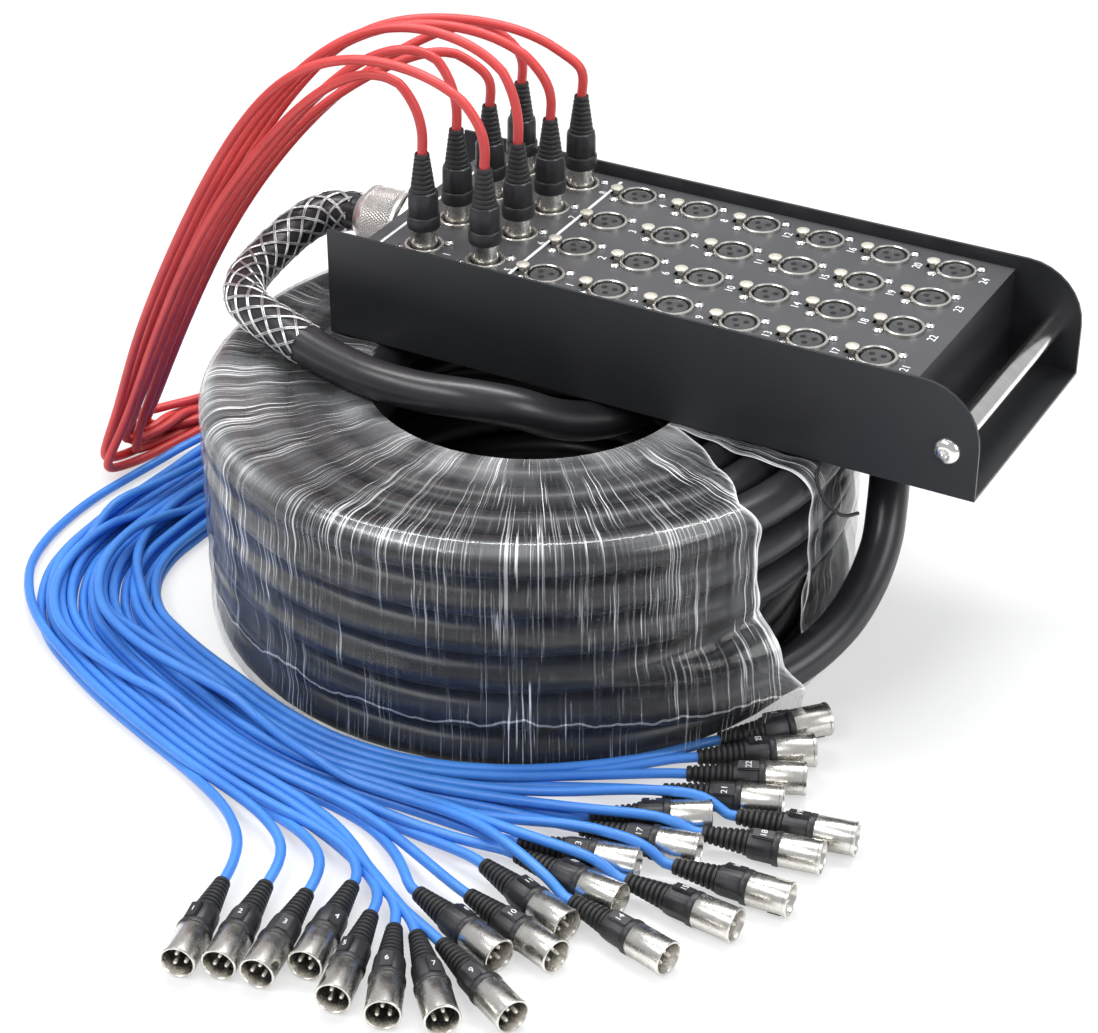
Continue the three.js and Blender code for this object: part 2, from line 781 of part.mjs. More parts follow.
// Cable gland, lying along -X out of the panel's left wall
function glandBody() {
  const inside = -panelSheet - seatGap;
  const end = seatGap + glandBodyLength;
  const body = turned([
    [0, inside - glandLocknutLength],
    [glandLocknutRadius, inside - glandLocknutLength],
    [glandLocknutRadius, inside],
    [glandThreadRadius, inside],
    [glandThreadRadius, seatGap],
    [glandBodyRadius, seatGap],
    [glandBodyRadius, seatGap + glandHexLength],
    [glandThreadRadius, seatGap + glandHexLength],
    [glandThreadRadius, end],
    [0, end],
  ], glandSides);
  return body.rotate([0, -90, 0]);
}
function glandNut() {
  const start = seatGap + glandHexLength + seatGap;
  const bore = glandThreadRadius + seatGap / Math.cos(Math.PI / glandSides);
  const nut = turned([
    [bore, start],
    [glandNutRadius, start],
    [glandNutRadius, start + glandNutLength],
    [bore, start + glandNutLength],
    [bore, start],
  ], glandSides);
  return nut.rotate([0, -90, 0]);
}
const glandPlace = [panelLeft, 0, glandHeight];
addPart(box, 'gland_body', glandBody(), castNickel, glandPlace);
addPart(box, 'gland_nut', glandNut(), castNickel, glandPlace);

// Return plugs: z = 0 on the panel's upper face, the nose down in the socket's cup
const returnShellStart = socketProud + seatGap;
const returnBootTop = returnShellStart + returnShellLength + returnBootLength;
function returnPlug() {
  const start = returnShellStart;
  const boreRadius = tailDiameter / 2 + bootBoreClearance;
  const boreBottom = returnBootTop - tailInBoot - plugTravel - cutOverrun;
  return turned([
    [0, start],
    [returnNoseBore, start],
    [returnNoseBore, start - returnNoseLength],
    [returnNoseRadius, start - returnNoseLength],
    [returnNoseRadius, start],
    [returnShellRadius, start],
    [returnBodyRadius, start + returnShellLength],
    [returnBootRadius, returnBootTop],
    [boreRadius, returnBootTop],
    [boreRadius, boreBottom],
    [0, boreBottom],
  ], returnSides);
}
for (let column = 0; column < returnColumnCount; column += 1) {
  for (let row = 0; row < rowCount; row += 1) {
    const number = (returnColumnCount - 1 - column) * rowCount + row + 1;
    const place = [returnX(column), rowY(row), panelTop];
    addPart(box, `return_plug_${number}`, returnPlug(), blackPlastic, place);
  }
}

// Return tails: red arcs from the return plugs down to the floor left of the coil, gathered there,
// and one bundle from there to the breakout boot. Places are measured from the coil's axis and the floor.
// An arc's stations are [x, height, share of the row's own distance still to be crossed].
const nearArc = [
  [-78.7, 268.7, 1], [-78.7, 292, 1], [-89, 313, 0.97], [-111, 322.5, 0.88], [-138, 309, 0.72],
  [-178, 266, 0.42], [-226, 197, 0.13], [-276, 93, 0.01], [-294, 14, 0],
];
const farArc = [
  [-36.7, 268.7, 1], [-36.7, 292, 1], [-47, 316, 0.97], [-76, 332.5, 0.9], [-115, 336, 0.76],
  [-160, 314, 0.52], [-200, 266, 0.26], [-246, 184, 0.06], [-288, 93, 0], [-304, 14, 0],
];
const firstLifted = 2;
const lastLifted = 4;
const nearLift = [0, 3, -14, -10];
const farLift = [0, 12, -4, -16];
const firstFoot = -2;
const footPitch = 9;
function arcRoute(stations, lifts, row) {
  const foot = firstFoot + row * footPitch;
  const start = boxMiddleFromCoil + rowY(row);
  return stations.map(([x, height, share], i) => {
    const lifted = i >= firstLifted && i <= lastLifted ? lifts[row] : 0;
    return new THREE.Vector3(x, foot + (start - foot) * share, height + lifted);
  });
}

const footBlock = [26, 43, 19.5];
const footPlace = [-299, 11.5, floorGap + footBlock[2] / 2];
const redRope = [
  [-299, 28, 8.9], [-301, 50, 8.9], [-298, 72, 8.9], [-290, 94, 10], [-277, 116, 17], [-258, 136, 27],
  [-232, 154, 33],
];
const redRopeAside = 10;
const redRopeHeight = 33.5;
const bootLength = bootConeLength + bootCollarLength;
const bootEnd = new THREE.Vector3(...bootPlace).addScaledVector(bootInto, bootLength);
const tailStart = bootEnd.clone().addScaledVector(bootInto, seatGap);
const bootAside = new THREE.Vector3(...onCoil(bootAngle + fullTurn / 4, 1, 0));

const across = new THREE.Vector3(0, 1, 0);
function returnTails() {
  const solids = [block(...footBlock, footPlace)];
  for (let row = 0; row < rowCount; row += 1) {
    for (const route of [arcRoute(nearArc, nearLift, row), arcRoute(farArc, farLift, row)]) {
      solids.push(tubeThrough(route, tailDiameter / 2, cableSides, upward, null, across));
    }
  }
  const mouth = tailStart.clone().addScaledVector(bootAside, -redRopeAside);
  mouth.z = redRopeHeight;
  const route = [...toPoints(redRope), mouth];
  const along = bootInto.clone().negate();
  solids.push(tubeThrough(smooth(route, redRope.length), redRopeDiameter / 2, cableSides, null, along));
  return union(solids);
}
addPart(coil, 'return_tails', returnTails(), redJacket);

// Input tails: six bundles side by side on the floor, from the boot round the coil's left and front.
// A lane's stations are [angle, radius of the innermost lane, height].
const laneHeight = ropeDiameter / 2 + floorGap;
const laneStations = [
  [150, 214, 9], [160, 209.5, laneHeight], [171, 208.5, laneHeight], [182, 209, laneHeight],
  [194, 221, laneHeight], [206, 235, laneHeight], [218, 234, laneHeight], [230, 219.5, laneHeight],
  [242, 209, laneHeight], [255, 207, laneHeight],
];
const laneStarts = [[18.9, 31.2], [6.3, 31.2], [18.9, 18.4], [6.3, 18.4], [-6.3, 18.4], [-18.9, 18.4]];
const laneEnds = [
  [[-11, -207.5], [35, -204.5], [77, -191.5], [114, -173]],
  [[-11, -220.5], [36, -217.5], [98, -206.5]],
  [[-12, -233], [30, -231.5], [76, -230]],
  [[-14, -246], [26, -250], [66, -260.5]],
  [[-18, -260.5], [20, -271], [56, -284]],
  [[-22, -275], [10, -281.5]],
];
const lowRoot = [8, 49.5, 11];
const highRoot = [8, 24, 12];

function laneRoute(lane) {
  const [aside, height] = laneStarts[lane];
  const start = tailStart.clone().addScaledVector(bootAside, aside);
  start.z = height;
  const route = [start];
  laneStations.forEach(([angle, radius, z]) => {
    route.push(new THREE.Vector3(...onCoil(angle, radius + lane * ropePitch, z)));
  });
  laneEnds[lane].forEach(([x, y]) => route.push(new THREE.Vector3(x, y, laneHeight)));
  return route;
}

function laneDirection(lane) {
  const route = laneRoute(lane);
  return route[route.length - 1].clone().sub(route[route.length - 2]).normalize();
}

function inputTails() {
  const rootMiddle = seatGap + lowRoot[0] / 2;
  const low = block(...lowRoot, [rootMiddle, 0, laneStarts[2][1]]);
  const highAside = (laneStarts[0][0] + laneStarts[1][0]) / 2;
  const high = block(...highRoot, [rootMiddle, highAside, laneStarts[0][1] - highRoot[2] / 4]);
  const rootPlace = [bootEnd.x, bootEnd.y, 0];
  const solids = [low.add(high).rotate([0, 0, bootAngle]).translate(rootPlace)];
  laneEnds.forEach((_, lane) => {
    const direction = laneDirection(lane);
    solids.push(tubeThrough(laneRoute(lane), ropeDiameter / 2, cableSides, bootInto, direction));
  });
  return union(solids);
}
addPart(coil, 'input_tails', inputTails(), blueJacket);

// Input plug: z = 0 where the tail goes in, the open mouth at the other end
function inputPlug() {
  return turned([
    [0, 0],
    [plugBootRadius, 0],
    [plugShellRadius, plugShellStart],
    [plugShellRadius, plugLength],
    [plugCupRadius, plugLength],
    [plugCupRadius, plugLength - plugCupDepth],
    [0, plugLength - plugCupDepth],
  ], plugSides);
}

// The fan of input plugs on the floor: for each bundle, the routes of its tails from the hub to where
// they go into their plugs, with each plug's heading. A place with no height has the plug axis's height.
const plugHeight = plugShellRadius + plugFloorGap;
const overPlugs = 20.5;
const fan = [
  { name: 'a', lane: 5, tails: [
    { heading: -76.1, route: [[-1, -318], [2.1, -342.9]] },
    { heading: -77.9, route: [[23.6, -334]] },
    { heading: -79.7, route: [[42, -309], [46.4, -329.7]] },
  ] },
  { name: 'b', lane: 4, tails: [
    { heading: -79.2, route: [[63.9, -312.7]] },
    { heading: -75.1, route: [[79, -308], [85.3, -328.3]] },
    { heading: -63.8, route: [[91, -312], [101.3, -331.2]] },
    { heading: -47.8, route: [[78, -305], [99, -316], [114.1, -330.5]] },
    { heading: -27.4, route: [[76, -306], [103, -319], [129.2, -330.3]] },
  ] },
  { name: 'c', lane: 3, tails: [
    { heading: -20.5, route: [[80, -286], [86, -296], [97.6, -301.3]] },
    { heading: -17.9, route: [[122.2, -290.1]] },
    { heading: -20, route: [[116.7, -264.5]] },
    { heading: -6.2, route: [[96, -252], [112, -247.5], [127.7, -248.4]] },
  ] },
  { name: 'd', lane: 2, tails: [
    { heading: 12.3, route: [[123.4, -238.6]] },
    { heading: -14, route: [
      [106, -244, overPlugs], [132, -257.5, overPlugs], [154, -263.8, overPlugs], [172.2, -268.5],
    ] },
    { heading: -4.3, route: [
      [114, -242, overPlugs], [140, -242.5, overPlugs], [172, -240.5, overPlugs], [189.7, -239.6],
    ] },
    { heading: 3.6, route: [
      [122, -226, 15], [142, -221.5, overPlugs], [166, -218.7, overPlugs], [191, -216.7, overPlugs],
      [206, -216.3],
    ] },
  ] },
  { name: 'e', lane: 1, tails: [
    { heading: 11.3, route: [[146.7, -211.5]] },
    { heading: 10.4, route: [
      [132, -207, 17], [152, -205.5, overPlugs], [172, -197, overPlugs], [189, -190, overPlugs],
      [207.3, -184],
    ] },
    { heading: 11.1, route: [
      [128, -196, 17], [150, -185, overPlugs], [180, -170, overPlugs], [198, -161.5, 21.5],
      [217.3, -161.5],
    ] },
    { heading: 28.3, route: [[146.4, -200.1]] },
  ] },
  { name: 'f', lane: 0, tails: [
    { heading: 19.7, route: [[171.4, -160.8]] },
    { heading: 24.9, route: [[175.9, -140.3]] },
    { heading: 34.4, route: [[146, -149], [158.5, -134.5], [174.6, -123.4]] },
    { heading: 46.5, route: [[146.5, -142.5], [166, -117.5], [178.1, -103]] },
  ] },
];
const hubLength = 9;
const tailOverlap = 2;

function plugGroup({ lane, tails }) {
  const route = laneRoute(lane);
  const along = laneDirection(lane);
  const from = route[route.length - 1].clone().addScaledVector(along, seatGap);
  const to = from.clone().addScaledVector(along, hubLength);
  const solids = [tubeThrough([from, to], ropeDiameter / 2, cableSides)];
  const start = to.clone().addScaledVector(along, -tailDiameter / 2).toArray();
  for (const { heading, route: places } of tails) {
    const passed = places.map(([x, y, z = plugHeight]) => [x, y, z]);
    const [x, y, z] = passed.pop();
    const into = onCoil(heading, tailOverlap, 0);
    const end = [x + into[0], y + into[1], z];
    solids.push(cable([start, ...passed, end], tailDiameter, cableSides, passed.length + 1));
    solids.push(inputPlug().rotate([0, 90, heading]).translate([x, y, z]));
  }
  return union(solids);
}
for (const group of fan) addPart(coil, `input_plugs_${group.name}`, plugGroup(group), blackPlastic);

export default root;
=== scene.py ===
import math
import random

import bmesh
import bpy
from mathutils import Matrix, Vector, kdtree, noise


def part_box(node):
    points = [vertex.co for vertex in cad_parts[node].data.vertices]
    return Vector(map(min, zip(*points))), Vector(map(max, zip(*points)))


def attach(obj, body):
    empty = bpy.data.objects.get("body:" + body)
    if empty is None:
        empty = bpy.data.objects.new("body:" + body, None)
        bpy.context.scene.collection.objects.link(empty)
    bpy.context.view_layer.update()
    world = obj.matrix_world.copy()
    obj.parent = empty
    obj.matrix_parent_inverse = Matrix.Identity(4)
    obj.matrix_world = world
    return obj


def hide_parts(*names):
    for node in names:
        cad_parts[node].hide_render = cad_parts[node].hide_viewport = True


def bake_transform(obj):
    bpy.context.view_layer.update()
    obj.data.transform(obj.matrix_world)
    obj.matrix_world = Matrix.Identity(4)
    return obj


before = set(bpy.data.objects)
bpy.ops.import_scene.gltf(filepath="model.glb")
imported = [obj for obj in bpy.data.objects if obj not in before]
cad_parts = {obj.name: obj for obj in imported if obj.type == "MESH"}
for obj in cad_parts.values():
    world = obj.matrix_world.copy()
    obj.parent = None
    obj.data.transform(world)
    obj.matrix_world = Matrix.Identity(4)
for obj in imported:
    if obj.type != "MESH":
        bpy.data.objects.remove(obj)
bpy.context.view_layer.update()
scene = bpy.context.scene
carried = "box_and_coil"
up = Vector((0, 0, 1))

# where the coil's axis and the box stand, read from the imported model
coil = {
    "x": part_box("coil_core")[0].x + 0.196,  # the winding's outer radius
    "cableDiameter": 0.024, "pitch": 0.0252, "innerRadius": 0.1084, "lowestTurn": 0.0123,
    "holeAngle": 170, "endAngle": 305,
}
tailDiameter = 0.006
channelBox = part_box("outer_channel")
boxMiddle = (channelBox[0].y + channelBox[1].y) / 2
boxLeft = channelBox[0].x
boxBottom = channelBox[0].z
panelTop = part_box("connector_panel")[1].z


def onCoil(angle, radius, height):
    turn = math.radians(angle)
    return Vector((coil["x"] + radius * math.cos(turn), radius * math.sin(turn), height))


def fromCoil(points):
    return [Vector((coil["x"] + x, y, z)) for x, y, z in points]


def linkObject(name, data):
    made = bpy.data.objects.new(name, data)
    scene.collection.objects.link(made)
    return made


def aimFrom(made, place, direction):
    made.location = place
    made.rotation_mode = "QUATERNION"
    made.rotation_quaternion = Vector(direction).to_track_quat("-Z", "Y")


# a piece takes its imported nodes' place and moves with their body
def standsFor(piece, slot, body, *nodes):
    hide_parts(*nodes)
    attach(piece, body)


# camera at the photograph's angle
camera = {"place": (0.66543, -1.27601, 0.95922), "aim": (-0.4069, 0.7451, -0.5285), "lens": 91.8}
cameraData = bpy.data.cameras.new("camera")
cameraData.lens = camera["lens"]
cameraData.sensor_width = 36
cameraData.clip_end = 50
scene.camera = linkObject("camera", cameraData)
aimFrom(scene.camera, camera["place"], camera["aim"])
print("camera set")


# finishes
def newMaterial(name, colour, roughness, metallic=0.0, **shaderValues):
    made = bpy.data.materials.new(name)
    made.use_nodes = True
    made.diffuse_color = (*colour, 1)
    shader = made.node_tree.nodes["Principled BSDF"]
    shader.inputs["Base Color"].default_value = (*colour, 1)
    shader.inputs["Roughness"].default_value = roughness
    shader.inputs["Metallic"].default_value = metallic
    for socket, value in shaderValues.items():
        shader.inputs[socket.replace("_", " ")].default_value = value
    return made


def addNode(made, kind, **values):
    node = made.node_tree.nodes.new(kind)
    for name, value in values.items():
        if name in node.inputs:
            node.inputs[name].default_value = value
        else:
            setattr(node, name, value)
    return node


def join(made, source, target):
    made.node_tree.links.new(source, target)


def mathNode(made, operation, *values, clamp=False):
    node = addNode(made, "ShaderNodeMath", operation=operation, use_clamp=clamp)
    for socket, value in zip(node.inputs, values):
        if isinstance(value, (int, float)):
            socket.default_value = value
        else:
            join(made, value, socket)
    return node.outputs[0]


def grain(made, scale, stretch=(1, 1, 1), detail=4.0, source="Object", name="grain"):
    where = addNode(made, "ShaderNodeTexCoord")
    place = addNode(made, "ShaderNodeMapping")
    place.inputs["Scale"].default_value = stretch
    field = addNode(made, "ShaderNodeTexNoise", Scale=scale, Detail=detail)
    field.label = name
    join(made, where.outputs[source], place.inputs["Vector"])
    join(made, place.outputs["Vector"], field.inputs["Vector"])
    return field


def spread(made, source, low, high, fromLow=0.3, fromHigh=0.7):
    ranged = addNode(made, "ShaderNodeMapRange")
    ranged.inputs["From Min"].default_value = fromLow
    ranged.inputs["From Max"].default_value = fromHigh
    ranged.inputs["To Min"].default_value = low
    ranged.inputs["To Max"].default_value = high
    join(made, source, ranged.inputs["Value"])
    return ranged.outputs["Result"]


def surface(made):
    return made.node_tree.nodes["Principled BSDF"].inputs


def tint(made, source, dark, light, low=0.35, high=0.65):
    ramp = addNode(made, "ShaderNodeValToRGB")
    for element, position, colour in zip(ramp.color_ramp.elements, (low, high), (dark, light)):
        element.position = position
        element.color = (*colour, 1)
    join(made, source, ramp.inputs["Fac"])
    join(made, ramp.outputs["Color"], surface(made)["Base Color"])
    return ramp


def roughen(made, field, low, high):
    join(made, spread(made, field.outputs["Fac"], low, high), surface(made)["Roughness"])


def relief(made, field, strength, distance):
    bump = addNode(made, "ShaderNodeBump", Strength=strength, Distance=distance)
    join(made, field.outputs["Fac"], bump.inputs["Height"])
    join(made, bump.outputs["Normal"], surface(made)["Normal"])


def satinJacket(name, dark, light, roughness, patch, scuff, wear=0.12):
    made = newMaterial(name, light, roughness, Specular_IOR_Level=0.5)
    tint(made, grain(made, patch, name="handling marks").outputs["Fac"], dark, light)
    fine = grain(made, scuff, name="fine scuffs")
    roughen(made, fine, roughness - wear * 0.4, roughness + wear * 0.6)
    relief(made, fine, wear, 0.0004)
    return made


def paintedSteel(name, dark, light, roughness, speckle, patch, stretch=(1, 1, 1)):
    made = newMaterial(name, light, roughness, Specular_IOR_Level=0.45)
    ramp = tint(made, grain(made, patch, stretch, name="coat variation").outputs["Fac"], dark, light, 0.3, 0.7)
    fine = grain(made, speckle, name="powder grain")
    roughen(made, fine, roughness - 0.05, roughness + 0.07)
    relief(made, fine, 0.18, 0.0003)
    return made, ramp


def brightMetal(name, dark, light, roughness, patch, stretch=(1, 1, 1), depth=0.02):
    made = newMaterial(name, light, roughness, 1.0)
    tint(made, grain(made, patch, stretch, name="handled plating").outputs["Fac"], dark, light)
    fine = grain(made, patch * 3, stretch, 2.0, name="fine marks")
    roughen(made, fine, roughness - 0.03, roughness + 0.04)
    relief(made, fine, depth, 0.0002)
    return made


trunkJacket = satinJacket("trunkJacket", (0.014, 0.014, 0.016), (0.021, 0.021, 0.024), 0.31, 12, 90, wear=0.05)
blueJacket = satinJacket("blueJacket", (0.045, 0.20, 0.64), (0.062, 0.26, 0.75), 0.38, 20, 500, wear=0.06)
redJacket = satinJacket("redJacket", (0.52, 0.04, 0.04), (0.64, 0.06, 0.058), 0.40, 20, 500, wear=0.06)
boxPaint = paintedSteel("boxPaint", (0.016, 0.0165, 0.019), (0.023, 0.024, 0.027), 0.38, 1600, 9)[0]
panelPaint, panelTint = paintedSteel("panelPaint", (0.052, 0.052, 0.056), (0.068, 0.068, 0.072), 0.42, 1800, 14,
                                     (0.25, 1, 1))
# painted shade: every panel face that does not face up, the turned-down ends among them, gets a near-black colour
# instead of the panel paint
facing = addNode(panelPaint, "ShaderNodeNewGeometry")
facingParts = addNode(panelPaint, "ShaderNodeSeparateXYZ")
ends = addNode(panelPaint, "ShaderNodeMix", data_type="RGBA")
# painted shade colour for the faces that do not face up
ends.inputs["A"].default_value = (0.014, 0.0145, 0.017, 1)
join(panelPaint, facing.outputs["True Normal"], facingParts.inputs[0])
join(panelPaint, mathNode(panelPaint, "GREATER_THAN", facingParts.outputs["Z"], 0.5), ends.inputs["Factor"])
join(panelPaint, panelTint.outputs["Color"], ends.inputs["B"])
join(panelPaint, ends.outputs["Result"], surface(panelPaint)["Base Color"])
nickelShell = brightMetal("nickelShell", (0.66, 0.64, 0.60), (0.76, 0.74, 0.69), 0.26, 70)
ringNickel = brightMetal("ringNickel", (0.76, 0.74, 0.69), (0.86, 0.84, 0.78), 0.26, 120)
castTab = brightMetal("castTab", (0.58, 0.55, 0.48), (0.74, 0.71, 0.63), 0.5, 700, depth=0.25)
polishedTube = brightMetal("polishedTube", (0.80, 0.79, 0.76), (0.88, 0.87, 0.84), 0.17, 30, (1, 4, 1))
glandNickel = brightMetal("glandNickel", (0.66, 0.65, 0.63), (0.76, 0.75, 0.73), 0.34, 90)
meshWire = brightMetal("meshWire", (0.55, 0.55, 0.55), (0.80, 0.80, 0.80), 0.30, 300)
screwSteel = brightMetal("screwSteel", (0.74, 0.74, 0.73), (0.88, 0.88, 0.87), 0.24, 300)
bootRubber = satinJacket("bootRubber", (0.011, 0.011, 0.012), (0.020, 0.020, 0.022), 0.52, 60, 900)
plugPlastic = satinJacket("plugPlastic", (0.012, 0.012, 0.014), (0.024, 0.024, 0.027), 0.42, 90, 1100)
socketInsert = satinJacket("socketInsert", (0.030, 0.030, 0.031), (0.052, 0.052, 0.054), 0.50, 120, 1300)
# painted shade: a near-black finish stands in for the shade inside holes, slots, the socket moat and the plug's
# mouth
paintedHoleShade = satinJacket("paintedHoleShade", (0.003, 0.003, 0.003), (0.006, 0.006, 0.006), 0.8, 120, 900)
whitePrint = satinJacket("whitePrint", (0.66, 0.67, 0.68), (0.82, 0.83, 0.84), 0.55, 300, 1500)
wireSleeve = satinJacket("wireSleeve", (0.10, 0.11, 0.12), (0.20, 0.21, 0.22), 0.6, 120, 900)


def clearFilm():
    made = newMaterial("clearFilm", (0.8, 0.82, 0.84), 0.15, Specular_IOR_Level=1.0)
    # drawn threads run down the side and in over the top as whiter streaks, which also stand in for reflections on
    # the film's wrinkles as painted reflections; broad haze varies between the layers
    threadsAndGlints = grain(made, 1.0, (135, 3.6, 1), 2.5, "UV", "drawn threads")
    threadsAndGlints.inputs["Distortion"].default_value = 0.5
    strandsAndGlints = grain(made, 1.0, (190, 0.9, 1), 0.0, "UV", "single strands")
    haze = grain(made, 1.0, (7, 1.6, 1), 3.0, "UV", "layer haze").outputs["Fac"]
    foldsAndSheen = addNode(made, "ShaderNodeAttribute", attribute_name="foldsAndSheen").outputs["Fac"]
    sharp = spread(made, threadsAndGlints.outputs["Fac"], 0.0, 1.0, 0.56, 0.70)
    thin = spread(made, strandsAndGlints.outputs["Fac"], 0.0, 1.0, 0.66, 0.76)
    patches = spread(made, haze, 0.15, 1.0, 0.40, 0.62)
    soft = spread(made, haze, 0.18, 0.32, 0.35, 0.65)
    streaksAndGlints = mathNode(made, "MULTIPLY", mathNode(made, "MAXIMUM", sharp, thin), patches)
    total = mathNode(made, "MULTIPLY_ADD", streaksAndGlints, 0.62, soft)
    # a second layer ends part of the way down the side
    across = addNode(made, "ShaderNodeUVMap", uv_map="UVMap")
    acrossParts = addNode(made, "ShaderNodeSeparateXYZ")
    join(made, across.outputs["UV"], acrossParts.inputs[0])
    layerEnd = mathNode(made, "MULTIPLY_ADD", haze, 0.10, acrossParts.outputs["Y"])
    line = mathNode(made, "COMPARE", layerEnd, 1.10, 0.004)
    # the attribute carries folds, layers and a painted highlight along the shoulder
    edgesAndSheen = mathNode(made, "MULTIPLY_ADD", line, 0.30, foldsAndSheen)
    join(made, mathNode(made, "ADD", total, edgesAndSheen, clamp=True), surface(made)["Alpha"])
    # white base colour along the streaks is partly painted reflection of the wrinkles
    white = mathNode(made, "MULTIPLY_ADD", edgesAndSheen, 1.6, streaksAndGlints, clamp=True)
    tint(made, white, (0.045, 0.047, 0.050), (0.90, 0.91, 0.92), 0.0, 1.0)
    relief(made, grain(made, 1.0, (30, 1.5, 1), 1.0, "UV", "wrinkles"), 0.25, 0.0008)
    return made


stretchFilm = clearFilm()
print("finishes made")


# routes
def mixed(a, b, t, low, high):
    return a * ((high - t) / (high - low)) + b * ((t - low) / (high - low))


# smooth line through all its points, with no overshoot where they lie close
def smoothPath(points, spacing):
    places = [Vector(points[0])]
    places += [Vector(b) for a, b in zip(points, points[1:]) if (Vector(b) - Vector(a)).length > 0.0005]
    ends = [places[0] * 2 - places[1], *places, places[-1] * 2 - places[-2]]
    path = []
    for corners in zip(ends, ends[1:], ends[2:], ends[3:]):
        knots = [0.0]
        for a, b in zip(corners, corners[1:]):
            knots.append(knots[-1] + math.sqrt((b - a).length))
        count = max(2, math.ceil((corners[2] - corners[1]).length / spacing))
        for k in range(count):
            t = knots[1] + (knots[2] - knots[1]) * k / count
            ab, bc, cd = (mixed(corners[j], corners[j + 1], t, knots[j], knots[j + 1]) for j in range(3))
            abc = mixed(ab, bc, t, knots[0], knots[2])
            bcd = mixed(bc, cd, t, knots[1], knots[3])
            path.append(mixed(abc, bcd, t, knots[1], knots[2]))
    path.append(places[-1])
    return path


# evens out a tail; its first points stay, and the plug's end keeps more of its line
def gentle(path, first, rounds=16):
    for count in range(rounds):
        held = len(path) - 3 - count // 2
        path = [
            (path[i - 1] + point * 2 + path[i + 1]) / 4 if first <= i < held else point
            for i, point in enumerate(path)
        ]
    return path


# jackets that would share a place push each other aside; both ends stay
settling = {"gap": 0.0070, "rounds": 80, "push": 0.3, "stiffness": 0.25, "lowest": 0.0032, "mouth": 6, "plug": 13}


def pushesBetween(paths):
    places = [(number, i) for number, path in paths.items() for i in range(len(path))]
    tree = kdtree.KDTree(len(places))
    for k, (number, i) in enumerate(places):
        tree.insert(paths[number][i], k)
    tree.balance()
    pushes = {number: [Vector() for _ in path] for number, path in paths.items()}
    for number, i in places:
        point = paths[number][i]
        for other, k, apart in tree.find_range(point, settling["gap"]):
            if places[k][0] != number and apart > 0.00001:
                pushes[number][i] += (point - other) * (settling["push"] * (settling["gap"] - apart) / apart)
    return pushes


def settle(paths):
    for _ in range(settling["rounds"]):
        for number, push in pushesBetween(paths).items():
            path = paths[number]
            last = len(path) - 1
            for _ in range(6):
                push = [(push[max(i - 1, 0)] + push[i] * 2 + push[min(i + 1, last)]) / 4 for i in range(last + 1)]
            mean = [
                (path[max(i - 2, 0)] + path[max(i - 1, 0)] + path[min(i + 1, last)] + path[min(i + 2, last)]) / 4
                for i in range(last + 1)
            ]
            for i, point in enumerate(path):
                hold = min(1.0, max(0, i - settling["mouth"]) / 6, max(0, last - settling["plug"] - i) / 12)
                moved = point + (push[i] + (mean[i] - point) * settling["stiffness"]) * hold
                moved.z = max(moved.z, min(point.z, settling["lowest"]))
                path[i] = moved


def pathLength(path):
    return sum((b - a).length for a, b in zip(path, path[1:]))


def alongPath(path, i):
    return path[min(i + 1, len(path) - 1)] - path[max(i - 1, 0)]


def asideBy(path, moves):
    moved = []
    for i, (point, (aside, above)) in enumerate(zip(path, moves)):
        left = up.cross(alongPath(path, i))
        left.z = 0
        moved.append(point + left.normalized() * aside + up * above)
    return moved


def beside(path, aside, above):
    return asideBy(path, [(aside, above)] * len(path))


def addStrand(data, path):
    spline = data.splines.new("POLY")
    spline.points.add(len(path) - 1)
    for point, place in zip(spline.points, path):
        point.co = (*place, 1)


def curveAlong(name, path, diameter, material, roundness=3):
    data = bpy.data.curves.new(name, "CURVE")
    data.dimensions = "3D"
    data.twist_mode = "Z_UP"
    addStrand(data, path)
    data.bevel_depth = diameter / 2
    data.bevel_resolution = roundness
    data.use_fill_caps = True
    data.materials.append(material)
    return linkObject(name, data)


def tubeAlong(name, path, diameter, material, sides=12):
    bm = bmesh.new()
    rings = []
    aside = None
    for i, point in enumerate(path):
        along = alongPath(path, i).normalized()
        if aside is None:
            aside = along.orthogonal().normalized()
        aside = (aside - along * aside.dot(along)).normalized()
        over = along.cross(aside)
        ring = []
        for k in range(sides):
            turn = 2 * math.pi * k / sides
            ring.append(bm.verts.new(point + (aside * math.cos(turn) + over * math.sin(turn)) * diameter / 2))
        rings.append(ring)
    for a, b in zip(rings, rings[1:]):
        for k in range(sides):
            bm.faces.new((a[k], a[(k + 1) % sides], b[(k + 1) % sides], b[k]))
    bm.faces.new(rings[0][::-1])
    bm.faces.new(rings[-1])
    return meshObject(name, bm, [material])


def meshObject(name, bm, materials, sharpAngle=38):
    bmesh.ops.recalc_face_normals(bm, faces=bm.faces)
    data = bpy.data.meshes.new(name)
    bm.to_mesh(data)
    bm.free()
    for material in materials:
        data.materials.append(material)
    data.shade_smooth()
    data.set_sharp_from_angle(angle=math.radians(sharpAngle))
    return linkObject(name, data)


def polar(radius, turn, height=0.0):
    return Vector((radius * math.cos(turn), radius * math.sin(turn), height))


def threeAround(radius, first):
    return [Matrix.Translation(polar(radius, first + 2 * math.pi * k / 3)) for k in range(3)]


def placeAlong(place, direction):
    return Matrix.Translation(place) @ direction.to_track_quat("Z", "Y").to_matrix().to_4x4()


